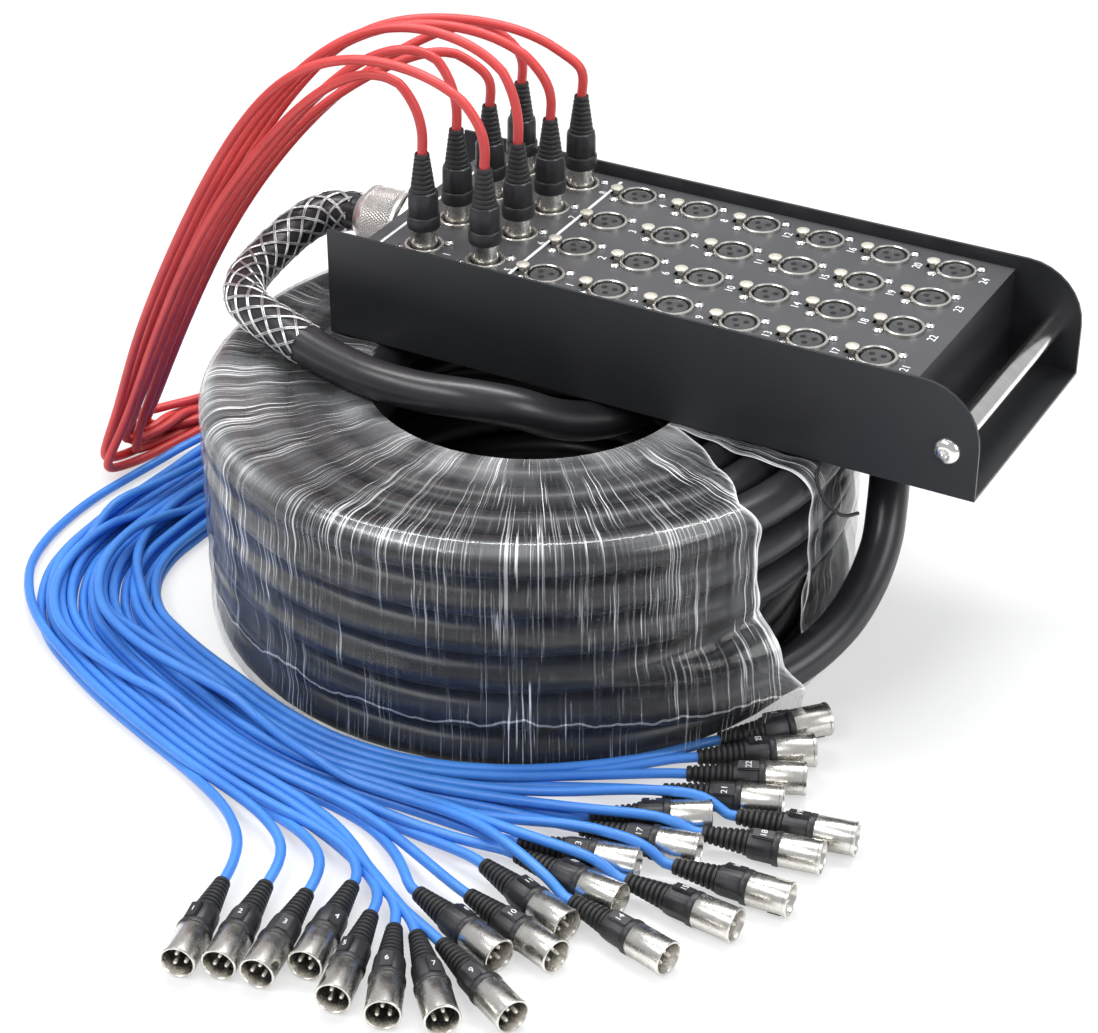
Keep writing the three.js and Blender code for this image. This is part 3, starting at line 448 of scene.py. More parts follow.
# turned piece about its own z axis from (radius, height) points, put in place by a matrix
def turned(bm, profile, sides, place=None, slot=0, closed=False, flutes=0, fluteDepth=0.0):
    place = place or Matrix.Identity(4)
    rings = []
    for radius, height in profile:
        if radius == 0:
            rings.append([bm.verts.new(place @ Vector((0, 0, height)))])
            continue
        ring = []
        for k in range(sides):
            turn = 2 * math.pi * k / sides
            r = radius - (fluteDepth if flutes and (k * flutes // sides) % 2 else 0)
            ring.append(bm.verts.new(place @ polar(r, turn, height)))
        rings.append(ring)
    pairs = list(zip(rings, rings[1:]))
    if closed:
        pairs.append((rings[-1], rings[0]))
    for a, b in pairs:
        for k in range(sides):
            following = (k + 1) % sides
            corners = [a[k % len(a)], a[following % len(a)], b[following % len(b)], b[k % len(b)]]
            corners = list(dict.fromkeys(corners))
            if len(corners) > 2:
                face = bm.faces.new(corners)
                face.material_index = slot


def roundBlock(bm, size, centre, place=None, slot=0, rounding=0.0):
    seat = (place or Matrix.Identity(4)) @ Matrix.Translation(centre) @ Matrix.Diagonal((*size, 1))
    made = bmesh.ops.create_cube(bm, size=1.0, matrix=seat)
    for vert in made["verts"]:
        for face in vert.link_faces:
            face.material_index = slot
    if rounding:
        edges = list(dict.fromkeys(edge for vert in made["verts"] for edge in vert.link_edges))
        bmesh.ops.bevel(bm, geom=edges, offset=rounding, segments=2, affect="EDGES", material=slot)


# trunk cable: gland, over the coil, down into its middle, through the turns, and out to the boot
leadRoute = fromCoil([
    (-0.1596, 0.0702, 0.1888), (-0.172, 0.0702, 0.1886), (-0.1845, 0.0655, 0.1865), (-0.194, 0.052, 0.1815),
    (-0.199, 0.032, 0.175), (-0.1995, 0.010, 0.1705), (-0.1945, -0.012, 0.1695), (-0.182, -0.031, 0.169),
    (-0.164, -0.043, 0.169), (-0.141, -0.051, 0.168), (-0.116, -0.058, 0.165), (-0.090, -0.065, 0.1638),
    (-0.064, -0.070, 0.1638), (-0.034, -0.070, 0.1638), (-0.004, -0.064, 0.1638), (0.018, -0.051, 0.158),
    (0.034, -0.033, 0.146), (0.048, -0.012, 0.138), (0.060, 0.012, 0.136), (0.064, 0.036, 0.1356),
    (0.058, 0.056, 0.1358), (0.045, 0.0685, 0.136), (0.025, 0.079, 0.1383), (0.0, 0.086, 0.1383),
    (-0.025, 0.0875, 0.1383), (-0.049, 0.082, 0.1383), (-0.070, 0.069, 0.1383),
])
endTurns = [
    (-30, 0.201, 0.0375), (-18, 0.211, 0.043), (-8, 0.2175, 0.054), (0, 0.2195, 0.067), (6, 0.2205, 0.084),
    (10, 0.219, 0.101), (15, 0.2165, 0.117), (23, 0.214, 0.127), (33, 0.213, 0.126), (45, 0.2135, 0.112),
    (58, 0.213, 0.090), (72, 0.212, 0.062), (86, 0.214, 0.037), (97, 0.221, 0.020), (104, 0.235, 0.015),
    (110.7, 0.2545, 0.0185),
]
windingCells = [
    (1, 6), (2, 6), (3, 6), (4, 6), (4, 5), (4, 4), (4, 3), (3, 3), (3, 4), (3, 5), (2, 5), (1, 5),
    (1, 4), (2, 4), (2, 3), (1, 3), (1, 2), (1, 1), (2, 1), (2, 2), (3, 2), (3, 1), (4, 1), (4, 2),
]
winding = {
    "asideFrom": 65, "asideTo": 170, "dropFrom": 5, "dropTo": 65, "inside": 720 / 14, "step": 6, "inset": 0.012,
    "wholeTurns": 21,
}


# each turn keeps its own place but for one stretch where it steps to the next one's
def windingMoves():
    moves = []
    lag = 0.0
    for i, (here, following) in enumerate(zip(windingCells, windingCells[1:])):
        across = following[0] - here[0]
        rise = following[1] - here[1]
        if i < 3:
            start, stop = winding["asideFrom"], winding["asideTo"]
        elif i < 6:
            start, stop = winding["dropFrom"], winding["dropTo"]
        else:
            before = moves[-1]
            if (across == 0) != (before[2] == 0):
                lag += winding["inside"]
            start = winding["dropFrom"] - lag
            stop = start + winding["inside"]
        base = (i + 1) * 360
        moves.append((base + start, base + stop, across, rise))
    return moves


def eased(value, low, high):
    share = min(max((value - low) / (high - low), 0.0), 1.0)
    return share * share * (3 - 2 * share)


def windingPath():
    moves = windingMoves()
    last = winding["wholeTurns"] * 360 + coil["endAngle"]
    count = round((last - coil["holeAngle"]) / winding["step"])
    path = []
    for k in range(count + 1):
        angle = coil["holeAngle"] + (last - coil["holeAngle"]) * k / count
        column = 0.0
        layer = 5.0
        for start, stop, across, rise in moves:
            share = eased(angle, start, stop)
            column += across * share
            layer += rise * share
        radius = coil["innerRadius"] + column * coil["pitch"]
        radius -= winding["inset"] * (1 - eased(angle, coil["holeAngle"], coil["holeAngle"] + 60))
        path.append(onCoil(angle, radius, coil["lowestTurn"] + layer * coil["pitch"]))
    return path


boot = {
    "place": (-0.137, 0.219, 0.0289), "heading": 220, "length": 0.082, "small": 0.015, "large": 0.0285, "ribs": 9,
}
bootInto = polar(1, math.radians(boot["heading"]))
bootAside = Vector((-bootInto.y, bootInto.x, 0))
bootPlace = fromCoil([boot["place"]])[0]
bootEnd = bootPlace + bootInto * boot["length"]

turns = windingPath()
intoTurns = (turns[1] - turns[0]).normalized()
intoTurns.z = 0
outOfTurns = (turns[-1] - turns[-2]).normalized()
# straight stretches into the turns, out of them and into the boot
straights = {"in": (-0.0303, -0.012, 0), "out": (0, 0.0243, 0.0363), "boot": (-0.024, 0, 0.008), "spacing": 0.007}
leadIn = [turns[0] + intoTurns * reach for reach in straights["in"]]
leadPath = smoothPath([*leadRoute, *leadIn], straights["spacing"])
endRoute = [turns[-1] + outOfTurns * reach for reach in straights["out"]]
endRoute += [onCoil(*place) for place in endTurns]
endRoute += [bootPlace + bootInto * reach for reach in straights["boot"]]
endPath = smoothPath(endRoute, straights["spacing"])
trunkPath = leadPath[:-1] + turns + endPath[1:]
trunkCable = curveAlong("trunkCable", trunkPath, coil["cableDiameter"], trunkJacket, 6)
standsFor(trunkCable, "black_jacket", carried, "trunk_coil", "coil_core", "trunk_lead", "trunk_end")


# breakout boot: ribbed cone and collar that the tails come out of
def breakoutBoot():
    bm = bmesh.new()
    small, large, ribs = boot["small"], boot["large"], boot["ribs"]
    profile = [(0, 0.0), (small - 0.001, 0.0), (small, 0.001)]
    for k in range(ribs):
        radius = small + (large - small) * ((k + 0.5) / ribs)
        low = 0.003 + 0.054 * k / ribs
        profile += [(radius - 0.0009, low), (radius, low + 0.0012)]
        profile += [(radius, low + 0.0035), (radius - 0.0009, low + 0.0045)]
    profile += [(large - 0.0005, 0.060), (large, 0.0615), (large, 0.0805), (large - 0.0015, 0.082)]
    profile += [(large - 0.004, 0.082), (large - 0.0045, 0.079), (0, 0.079)]
    turned(bm, profile, 48, placeAlong(bootPlace, bootInto))
    made = meshObject("breakoutBoot", bm, [bootRubber])
    standsFor(made, "black_rubber", carried, "breakout_boot")
    return made


bootPiece = breakoutBoot()
print("trunk wound")


# connectors on the tails
def ribbedBoot(bm, start, length, narrow, wide, ribs, place, slot, sides=24):
    profile = [(0.0034, start + 0.002), (narrow - 0.0006, start), (narrow, start + 0.0006)]
    step = length / ribs
    for k in range(ribs):
        radius = narrow + (wide - narrow) * (k + 0.5) / ribs
        low = start + step * k
        groove = 0.0009 if k else 0.0002
        profile += [(radius - groove, low + step * 0.12), (radius, low + step * 0.32)]
        profile += [(radius + 0.0001, low + step * 0.78), (radius - 0.0009, low + step * 0.98)]
    profile.append((wide, start + length + 0.0006))
    turned(bm, profile, sides, place, slot)


inputPlug = {"length": 0.067, "boot": 0.026, "shell": 0.0094}
# the last finish is near-black painted shade
plugFinishes = [bootRubber, plugPlastic, nickelShell, paintedHoleShade]


def makeInputPlug():
    bm = bmesh.new()
    shell, end = inputPlug["shell"], inputPlug["length"]
    ribbedBoot(bm, 0.0, inputPlug["boot"], 0.0044, 0.0074, 8, Matrix.Identity(4), 0)
    turned(bm, [(0.0070, 0.0255), (0.0081, 0.0262), (0.0087, 0.029), (0.0090, 0.0395), (0.0087, 0.0402)], 48,
           None, 1, flutes=16, fluteDepth=0.0003)
    turned(bm, [(0.0085, 0.0400), (0.0096, 0.0404), (0.0098, 0.0412), (0.0098, 0.0434), (0.0094, 0.0440)], 40,
           None, 1)
    roundBlock(bm, (0.0066, 0.0022, 0.0125), (0, 0.0087, 0.0345), None, 1, 0.0006)
    turned(bm, [
        (shell - 0.0004, 0.0436), (shell, 0.0442), (shell, end - 0.0022), (shell + 0.0004, end - 0.0018),
        (shell + 0.0004, end - 0.0004), (shell, end), (shell - 0.0007, end), (shell - 0.0011, end - 0.0006),
        (shell - 0.0011, end - 0.0150), (0, end - 0.0150),
    ], 40, None, 2)
    # painted shade: a near-black key slot and a near-black disc deep in the plug's mouth
    roundBlock(bm, (0.0040, 0.0006, 0.0075), (0, -shell, end - 0.0075), None, 3, 0.0002)
    turned(bm, [(0, end - 0.0132), (shell - 0.0013, end - 0.0132), (shell - 0.0013, end - 0.0150)], 32, None, 3)
    for pin in threeAround(0.0037, math.pi / 2):
        turned(bm, [(0.0012, end - 0.0135), (0.0012, end - 0.0032), (0.0007, end - 0.0024), (0, end - 0.0022)],
               12, pin, 2)
    return meshObject("inputPlugPattern", bm, plugFinishes)


def makeReturnPlug():
    bm = bmesh.new()
    # z = 0 on the panel; nickel nose and shell, black grip ring with a wide band, ribbed boot
    turned(bm, [
        (0, -0.0100), (0.0064, -0.0100), (0.0064, -0.0101), (0.0079, -0.0104), (0.0082, -0.0100), (0.0082, 0.0026),
        (0.0082, 0.0134), (0.0084, 0.0140), (0.0080, 0.0146),
    ], 40, None, 2)
    turned(bm, [(0.0078, 0.0128), (0.0096, 0.0132), (0.0100, 0.0140), (0.0100, 0.0205), (0.0097, 0.0212),
                (0.0090, 0.0216)], 40, None, 1)
    turned(bm, [(0.0088, 0.0210), (0.0094, 0.0218), (0.0092, 0.0340), (0.0086, 0.0362), (0.0076, 0.0368)], 48,
           None, 1, flutes=16, fluteDepth=0.0004)
    flip = Matrix.Translation((0, 0, 0.0606)) @ Matrix.Rotation(math.pi, 4, "X")
    ribbedBoot(bm, 0.0, 0.0240, 0.0043, 0.0076, 8, flip, 0)
    return meshObject("returnPlugPattern", bm, plugFinishes)


plugPattern = makeInputPlug()
returnPattern = makeReturnPlug()
for pattern in (plugPattern, returnPattern):
    scene.collection.objects.unlink(pattern)

# return plugs and their red tails
returnPlug = {"nearX": 0.054, "farX": 0.096, "firstY": -0.060, "rowPitch": 0.040}


def returnX(number):
    return boxLeft + returnPlug["nearX" if number <= 4 else "farX"]


def rowY(row):
    return boxMiddle + returnPlug["firstY"] + returnPlug["rowPitch"] * row


nearArc = [
    (-0.0787, 0.2687, 1), (-0.0787, 0.292, 1), (-0.089, 0.313, 0.97), (-0.111, 0.3225, 0.88), (-0.138, 0.309, 0.72),
    (-0.178, 0.266, 0.42), (-0.226, 0.197, 0.13), (-0.276, 0.093, 0.01),
]
farArc = [
    (-0.0367, 0.2687, 1), (-0.0367, 0.292, 1), (-0.047, 0.316, 0.97), (-0.076, 0.3325, 0.9), (-0.115, 0.336, 0.76),
    (-0.160, 0.314, 0.52), (-0.200, 0.266, 0.26), (-0.246, 0.184, 0.06), (-0.288, 0.093, 0),
]
arcLift = {
    "near": (0, 0.003, -0.014, -0.010), "far": (-0.006, 0.004, -0.008, -0.018), "foot": -0.014, "footPitch": 0.012,
    "nearFoot": 0.294, "farFoot": 0.302, "floor": 0.0089,
}
redBundle = fromCoil([
    (-0.299, 0.050, 0.0089), (-0.298, 0.072, 0.0089), (-0.290, 0.094, 0.010), (-0.277, 0.116, 0.017),
    (-0.258, 0.136, 0.027), (-0.232, 0.154, 0.033),
])
redMouth = bootEnd - bootAside * 0.010 + bootInto * -0.002
redMouth.z = 0.0335
redPlaces = [(-0.0093, -0.0056), (-0.0031, -0.0056), (0.0031, -0.0056), (0.0093, -0.0056),
             (-0.0062, -0.0002), (0.0, -0.0002), (0.0062, -0.0002), (0.0, 0.0052)]
redLoop = [(-0.0030, 0.0, 0.036), (-0.0110, -0.005, 0.012), (-0.0190, -0.006, 0.0), (-0.0220, 0.006, 0.0),
           (-0.0150, 0.020, 0.0)]
bundleAt = (0, 5, 1, 4, 2, 6, 3, 7)
farLoops = {1: 0.026, 2: 0.008, 3: 0.018, 5: 0.012, 6: 0.020, 8: 0.012}  # how far each loop runs forward
loopShare = (0.0, 0.45, 1.0, 0.75, 0.2)


def redRoute(number):
    row = (number - 1) % 4
    side = "near" if number <= 4 else "far"
    footY = arcLift["foot"] + arcLift["footPitch"] * row
    startY = rowY(row)
    route = []
    for k, (x, z, share) in enumerate(nearArc if number <= 4 else farArc):
        lift = arcLift[side][row] if 2 <= k <= 4 else 0
        route.append(Vector((coil["x"] + x, footY + (startY - footY) * share, z + lift)))
    aside, above = redPlaces[bundleAt[number - 1]]
    foot = Vector((coil["x"] - arcLift[side + "Foot"], footY, arcLift["floor"] + above))
    for (x, y, z), share in zip(redLoop, loopShare):
        out = farLoops.get(number, 0.0) * share
        route.append(foot + Vector((x + out * 0.35, y - out, z + out * 0.28)))
    return route + beside([*redBundle, redMouth], aside, above)


redPaths = {number: gentle(smoothPath(redRoute(number)[::-1], 0.004), 3) for number in range(1, 9)}
settle(redPaths)
for number, path in redPaths.items():
    x, y = returnX(number), rowY((number - 1) % 4)
    plug = linkObject(f"returnPlug{number}", returnPattern.data)
    plug.location = (x, y, panelTop)
    standsFor(plug, "black_plug", f"return_plug_{number}", f"return_plug_{number}")
    tail = tubeAlong(f"returnTail{number}", path, tailDiameter, redJacket)
    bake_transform(tail)
    if number == 1:
        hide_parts("return_tails")
print("return tails laid")

# blue tails: six lanes of four, two above two, then the fan
laneStations = [
    (150, 0.214, 0.009), (160, 0.2095, 0.0064), (171, 0.2085, 0.0064), (182, 0.209, 0.0064), (194, 0.221, 0.0064),
    (206, 0.235, 0.0064), (218, 0.234, 0.0064), (230, 0.2195, 0.0064), (242, 0.209, 0.0064), (255, 0.207, 0.0064),
]
laneStarts = [(0.0189, 0.0312), (0.0063, 0.0312), (0.0189, 0.0184), (0.0063, 0.0184), (-0.0063, 0.0184),
              (-0.0189, 0.0184)]
laneEnds = [
    [(-0.011, -0.2075), (0.035, -0.2045), (0.077, -0.1915), (0.114, -0.173)],
    [(-0.011, -0.2205), (0.036, -0.2175), (0.098, -0.2065)],
    [(-0.012, -0.233), (0.030, -0.2315), (0.076, -0.230)],
    [(-0.014, -0.246), (0.026, -0.250), (0.066, -0.2605)],
    [(-0.018, -0.2605), (0.020, -0.271), (0.056, -0.284)],
    [(-0.022, -0.275), (0.010, -0.2815)],
]
lane = {
    "pitch": 0.0128, "height": 0.0064, "half": 0.0031, "rise": 0.003, "plugHeight": 0.0105, "over": 0.0205,
    "spacing": 0.008,
}
over = lane["over"]  # height of a tail that lies on its neighbours
# plug: lane, side of the lane (1 is the coil's side), layer, heading, places on the way and at the plug
fan = {
    1: (5, -1, -1, -76.1, [(-0.019, -0.297), (-0.005, -0.318), (0.0021, -0.3429)]),
    2: (5, -1, 1, -77.9, [(0.006, -0.291), (0.018, -0.308), (0.0236, -0.334)]),
    3: (5, 1, -1, -79.7, [(0.030, -0.291), (0.041, -0.306), (0.0464, -0.3297)]),
    4: (5, 1, 1, -79.2, [(0.045, -0.285), (0.058, -0.296), (0.0639, -0.3127)]),
    5: (4, -1, -1, -75.1, [(0.079, -0.308), (0.0853, -0.3283)]),
    6: (4, -1, 1, -63.8, [(0.091, -0.312), (0.1013, -0.3312)]),
    7: (4, 1, -1, -47.8, [(0.078, -0.305), (0.099, -0.316), (0.1141, -0.3305)]),
    9: (4, 1, 1, -27.4, [(0.076, -0.306), (0.103, -0.319), (0.1292, -0.3303)]),
    8: (3, -1, -1, -20.5, [(0.080, -0.286), (0.086, -0.296), (0.0976, -0.3013)]),
    10: (3, -1, 1, -17.9, [(0.1222, -0.2901)]),
    11: (3, 1, -1, -20, [(0.1167, -0.2645)]),
    12: (3, 1, 1, -6.2, [(0.096, -0.252), (0.112, -0.2475), (0.1277, -0.2484)]),
    13: (2, -1, -1, 12.3, [(0.1234, -0.2386)]),
    14: (2, -1, 1, -14, [(0.106, -0.244, over), (0.132, -0.2575, over), (0.154, -0.2638, over),
                         (0.1722, -0.2685)]),
    15: (2, 1, 1, -4.3, [(0.114, -0.242, over), (0.140, -0.2425, over), (0.172, -0.2405, over),
                         (0.1897, -0.2396)]),
    16: (2, 1, -1, 3.6, [(0.122, -0.226, 0.015), (0.142, -0.2215, over), (0.166, -0.2187, over),
                         (0.191, -0.2167, over), (0.206, -0.2163)]),
    17: (1, -1, -1, 11.3, [(0.1467, -0.2115)]),
    18: (1, -1, 1, 10.4, [(0.132, -0.207, 0.017), (0.152, -0.2055, over), (0.172, -0.197, over),
                          (0.189, -0.190, over), (0.2073, -0.184)]),
    19: (1, 1, 1, 11.1, [(0.128, -0.196, 0.017), (0.150, -0.185, over), (0.180, -0.170, over),
                         (0.198, -0.1615, 0.0215), (0.2173, -0.1615)]),
    20: (1, 1, -1, 28.3, [(0.1464, -0.2001)]),
    21: (0, -1, -1, 19.7, [(0.1714, -0.1608)]),
    22: (0, -1, 1, 24.9, [(0.1759, -0.1403)]),
    23: (0, 1, -1, 34.4, [(0.146, -0.149), (0.1585, -0.1345), (0.1746, -0.1234)]),
    24: (0, 1, 1, 46.5, [(0.1465, -0.1425), (0.166, -0.1175), (0.1781, -0.103)]),
}
plugGroups = {5: "a", 4: "b", 3: "c", 2: "d", 1: "e", 0: "f"}
# upper tails that climb over their neighbours: start and end along the lane, how far aside, how high
strays = {
    22: (0.10, 0.52, -0.021, 0.0064), 18: (0.32, 0.80, -0.017, 0.0126), 14: (0.50, 0.93, 0.015, 0.0064),
    10: (0.34, 0.78, -0.018, 0.0064), 6: (0.08, 0.44, 0.017, 0.0126), 2: (0.14, 0.66, -0.019, -0.0058),
}


def stray(path, number):
    if number not in strays:
        return path
    first, last, aside, lift = strays[number]
    total = pathLength(path)
    gone = 0.0
    moved = []
    for i, point in enumerate(path):
        if i:
            gone += (point - path[i - 1]).length
        share = (gone / total - first) / (last - first)
        swing = math.sin(math.pi * share) ** 2 if 0 < share < 1 else 0.0
        climb = swing if lift < 0 else min(1.0, 5 * swing)
        moved.append((swing * aside, climb * lift))
    return asideBy(path, moved)


leavesBy = {1: 9, 2: 4}  # lane points before the end where a tail turns off


def laneCentre(index):
    aside, height = laneStarts[index]
    start = bootEnd + bootAside * aside - bootInto * 0.002
    start.z = height
    route = [start, start + bootInto * 0.012]
    route += [onCoil(angle, radius + index * lane["pitch"], z) for angle, radius, z in laneStations]
    route += [Vector((coil["x"] + x, y, lane["height"])) for x, y in laneEnds[index]]
    return smoothPath(route, 0.009)


plugNumbers = []
for number, (laneIndex, side, layer, heading, places) in fan.items():
    centre = laneCentre(laneIndex)
    seated = stray(beside(centre, side * lane["half"], layer * lane["rise"]), number)
    kept = seated[: len(seated) - 3 - leavesBy.get(number, 0)]
    into = polar(1, math.radians(heading))
    on = [Vector((coil["x"] + p[0], p[1], p[2] if len(p) > 2 else lane["plugHeight"])) for p in places]
    entry = on[-1]
    route = kept[::3] + [kept[-1]] + on[:-1] + [entry - into * 0.011, entry, entry + into * 0.006]
    if (route[-4] - route[-3]).length < 0.008:
        route.pop(-4)
    path = smoothPath(route, lane["spacing"])
    path = gentle(path, len(path) - 8 - round(pathLength(route[len(kept[::3]):]) / lane["spacing"]))
    tail = curveAlong(f"inputTail{number:02d}", path, tailDiameter, blueJacket)
    plug = linkObject(f"inputPlug{number:02d}", plugPattern.data)
    plug.matrix_world = placeAlong(entry, into) @ Matrix.Rotation(math.radians((number * 53) % 70 - 35), 4, "Z")
    group = "b" if number == 4 else plugGroups[laneIndex]
    standsFor(plug, "black_plug", carried, f"input_plugs_{group}")
    if number == 1:
        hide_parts("input_tails")
    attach(tail, carried)
    plugNumbers.append((number, plug.matrix_world.copy()))
print("input tails laid")

# film over the coil: inner edge, top, shoulder and side, left open at the front right
film = {
    "inner": 0.0986, "top": 0.1511, "outer": 0.1984, "hem": 0.0034, "shoulder": 0.0135, "from": -9, "columns": 540,
    "topRows": 25, "shoulderRows": 8, "sideRows": 39, "ridge": 0.0003, "tautRidge": 0.00008, "tautFrom": 22,
    "topDip": 0.0011, "sideDip": 0.0014,
}
# reach over the film, angle where it ends
filmEdge = [(0.0, 352), (0.09, 337), (0.14, 339), (0.19, 340), (0.24, 345)]


def turnDip(value, first):
    return 0.5 - 0.5 * math.cos(2 * math.pi * (value - first) / coil["pitch"])


def filmProfile():
    points = []
    turnIn = film["outer"] - film["shoulder"]
    rim = film["top"] - film["shoulder"]
    for k in range(film["topRows"] + 1):
        radius = film["inner"] + (turnIn - film["inner"]) * k / film["topRows"]
        dip = film["topDip"] * turnDip(radius, coil["innerRadius"]) * (k < film["topRows"])
        points.append((radius, film["top"] - dip))
    for k in range(1, film["shoulderRows"] + 1):
        turn = math.radians(90 - 90 * k / film["shoulderRows"])
        points.append((turnIn + film["shoulder"] * math.cos(turn), rim + film["shoulder"] * math.sin(turn)))
    for k in range(1, film["sideRows"] + 1):
        height = rim + (film["hem"] - rim) * k / film["sideRows"]
        points.append((film["outer"] - film["sideDip"] * turnDip(height, coil["lowestTurn"]), height))
    return points


def between(stations, value):
    for (a, first), (b, second) in zip(stations, stations[1:]):
        if value <= b:
            return first + (second - first) * max(0.0, value - a) / (b - a)
    return stations[-1][1]


# the film is carried out by the trunk's end, which leaves under its lower edge
endOutward = [(305, 0.184), (330, 0.201), (342, 0.211), (352, 0.2175)]
endHeight = [(305, 0.0375), (330, 0.0375), (342, 0.043), (352, 0.054)]


def filmBulge(angle, height):
    if angle < coil["endAngle"]:
        return 0.0
    outward = between(endOutward, angle)
    middle = between(endHeight, angle)
    away = height - middle
    reach = 0.014 if away > 0 else 0.020
    share = max(0.0, 1 - (abs(away) / (reach + 0.5 * (outward - 0.184) + 0.012)) ** 2)
    return max(0.0, outward + 0.0130 - film["outer"]) * share**0.5


def ripple(x, y, z=0.0):
    return noise.noise(Vector((x, y, z)))


# folds and more layers are whiter and less clear; the whiter band along the shoulder is a painted highlight
def whitening(k, angle, reach, edge, toHem):
    folded = 0.55 * max(0.0, 1 - edge / 0.9)
    folded += 0.22 * max(0.0, 1 - edge / 9) * max(0.0, 0.4 + ripple(angle * 1.7, reach * 11, 2))
    inward = max(0.0, 1 - reach / 0.045) * (0.22 + 0.25 * ripple(angle * 0.12, reach * 30, 8))
    # painted highlight: a whiter, less clear band along the shoulder rows
    paintedShoulderSheen = 0.34 * max(0.0, 1 - abs(k - 28.5) / 2.6) * max(0.0, 0.55 + ripple(angle * 0.06, 4, 4))
    hazy = 0.20 * eased(angle, 150, 195) * (1 - eased(angle, 228, 268)) * eased(reach, 0.03, 0.07)
    hazy *= 0.75 + 0.9 * ripple(angle * 0.9, reach * 3, 6)
    return folded + inward + paintedShoulderSheen + max(0.0, hazy) + 0.25 * max(0.0, 1 - toHem / 2)


def makeFilm():
    profile = filmProfile()
    reach = [0.0]
    for a, b in zip(profile, profile[1:]):
        reach.append(reach[-1] + math.dist(a, b))
    bm = bmesh.new()
    uv = bm.loops.layers.uv.new("UVMap")
    foldsAndSheen = bm.verts.layers.float.new("foldsAndSheen")
    rows = []
    marks = {}
    for k, (radius, height) in enumerate(profile):
        row = []
        first = film["from"] + ripple(reach[k] * 30, 3.1) * 2
        last = between(filmEdge, reach[k]) + ripple(reach[k] * 40, 7.7) * 1.6
        for j in range(film["columns"] + 1):
            angle = first + (last - first) * (j / film["columns"])
            ridge = ripple(angle * 1.1, reach[k] * 5) + 0.5 * ripple(angle * 0.45, reach[k] * 9, 5)
            push = film["tautRidge" if k > film["tautFrom"] else "ridge"] * ridge
            if k > film["topRows"] + film["shoulderRows"]:
                place = onCoil(angle, radius + filmBulge(angle, height) + min(push, 0.0004), height)
            else:
                place = onCoil(angle, radius, height - abs(push))
            vert = bm.verts.new(place)
            edge = min(j, film["columns"] - j) * (last - first) / film["columns"]
            # whiteness from folds, layers and the painted shoulder highlight
            vert[foldsAndSheen] = whitening(k, angle, reach[k], edge, len(profile) - 1 - k)
            marks[vert] = (math.radians(angle) * 0.98, reach[k] * 5)
            row.append(vert)
        rows.append(row)
    for a, b in zip(rows, rows[1:]):
        for j in range(film["columns"]):
            face = bm.faces.new((a[j], a[j + 1], b[j + 1], b[j]))
            for loop in face.loops:
                loop[uv].uv = marks[loop.vert]
    return meshObject("stretchFilm", bm, [stretchFilm], 80)


standsFor(makeFilm(), "clear_film", carried, "stretch_film")
print("film stretched")

# panel: sockets, screws, release tabs, rules and numbers
panel = {"columnPitch": 0.042, "firstInput": 0.136, "tab": 0.0146, "screwX": 0.0120, "screwY": 0.0095}


def inputX(column):
    return boxLeft + panel["firstInput"] + column * panel["columnPitch"]


def socketShape(bm, place, male):
    older = len(bm.verts)
    turned(bm, [
        (0.0102, -0.0020), (0.0102, 0.0018), (0.0106, 0.0023), (0.0115, 0.0023), (0.0120, 0.0018), (0.0120, 0.0),
        (0.0108, -0.0004), (0.0108, -0.021), (0, -0.021),
    ], 48, place, 0)
    if male:
        turned(bm, [(0.0102, 0.0016), (0.0088, 0.0010), (0.0088, -0.015), (0, -0.015)], 40, place, 1)
        for pin in threeAround(0.0037, math.pi / 2):
            turned(bm, [(0.0012, -0.015), (0.0012, -0.0068), (0.0007, -0.006), (0, -0.0058)], 12, place @ pin, 0)
        return
    # painted shade: near-black moat floor, three near-black discs for the holes and a near-black key block
    turned(bm, [(0.0102, -0.0020), (0.0088, -0.0020)], 48, place, 2)
    turned(bm, [(0.0088, -0.0020), (0.0088, 0.0008), (0.0085, 0.0012), (0, 0.0013)], 48, place, 1)
    for hole in threeAround(0.0040, -math.pi / 2):
        turned(bm, [(0.0018, 0.0010), (0.0018, 0.00136), (0.0015, 0.00140), (0, 0.00136)], 16, place @ hole, 2)
    roundBlock(bm, (0.0022, 0.0036, 0.0016), (-0.0094, 0, 0.0012), place, 2, 0.0002)
    # the ring is cut low where the release tab goes down
    bm.verts.ensure_lookup_table()
    seat = place.inverted()
    for vert in bm.verts[older:]:
        x, y, z = seat @ vert.co
        if math.hypot(x + panel["tab"], y) < 0.0047 and z > 0.0012:
            vert.co = place @ Vector((x, y, 0.0012))


def screwShape(bm, place, slot, turn):
    turned(bm, [(0.0028, 0.0), (0.0029, 0.0004), (0.0025, 0.0012), (0.0014, 0.0018), (0, 0.0020)], 20, place, slot)
    spin = place @ Matrix.Rotation(turn, 4, "Z")
    # painted shade: the screw's cross slot is a raised near-black cross
    roundBlock(bm, (0.0026, 0.0005, 0.0004), (0, 0, 0.0019), spin, slot + 1)
    roundBlock(bm, (0.0005, 0.0026, 0.0004), (0, 0, 0.0019), spin, slot + 1)


shuffle = random.Random(5)


def socketWithScrews(bm, x, row, male):
    centre = Matrix.Translation((x, rowY(row), panelTop))
    socketShape(bm, centre, male)
    for direction in (-1, 1):
        seat = centre @ Matrix.Translation((direction * panel["screwX"], direction * panel["screwY"], 0.0001))
        screwShape(bm, seat, 3, shuffle.uniform(0, 3.1))


def finishSockets(name, bm, node):
    sockets = meshObject(name, bm, [ringNickel, socketInsert, paintedHoleShade, screwSteel, paintedHoleShade])
    standsFor(sockets, "nickel", carried, node)


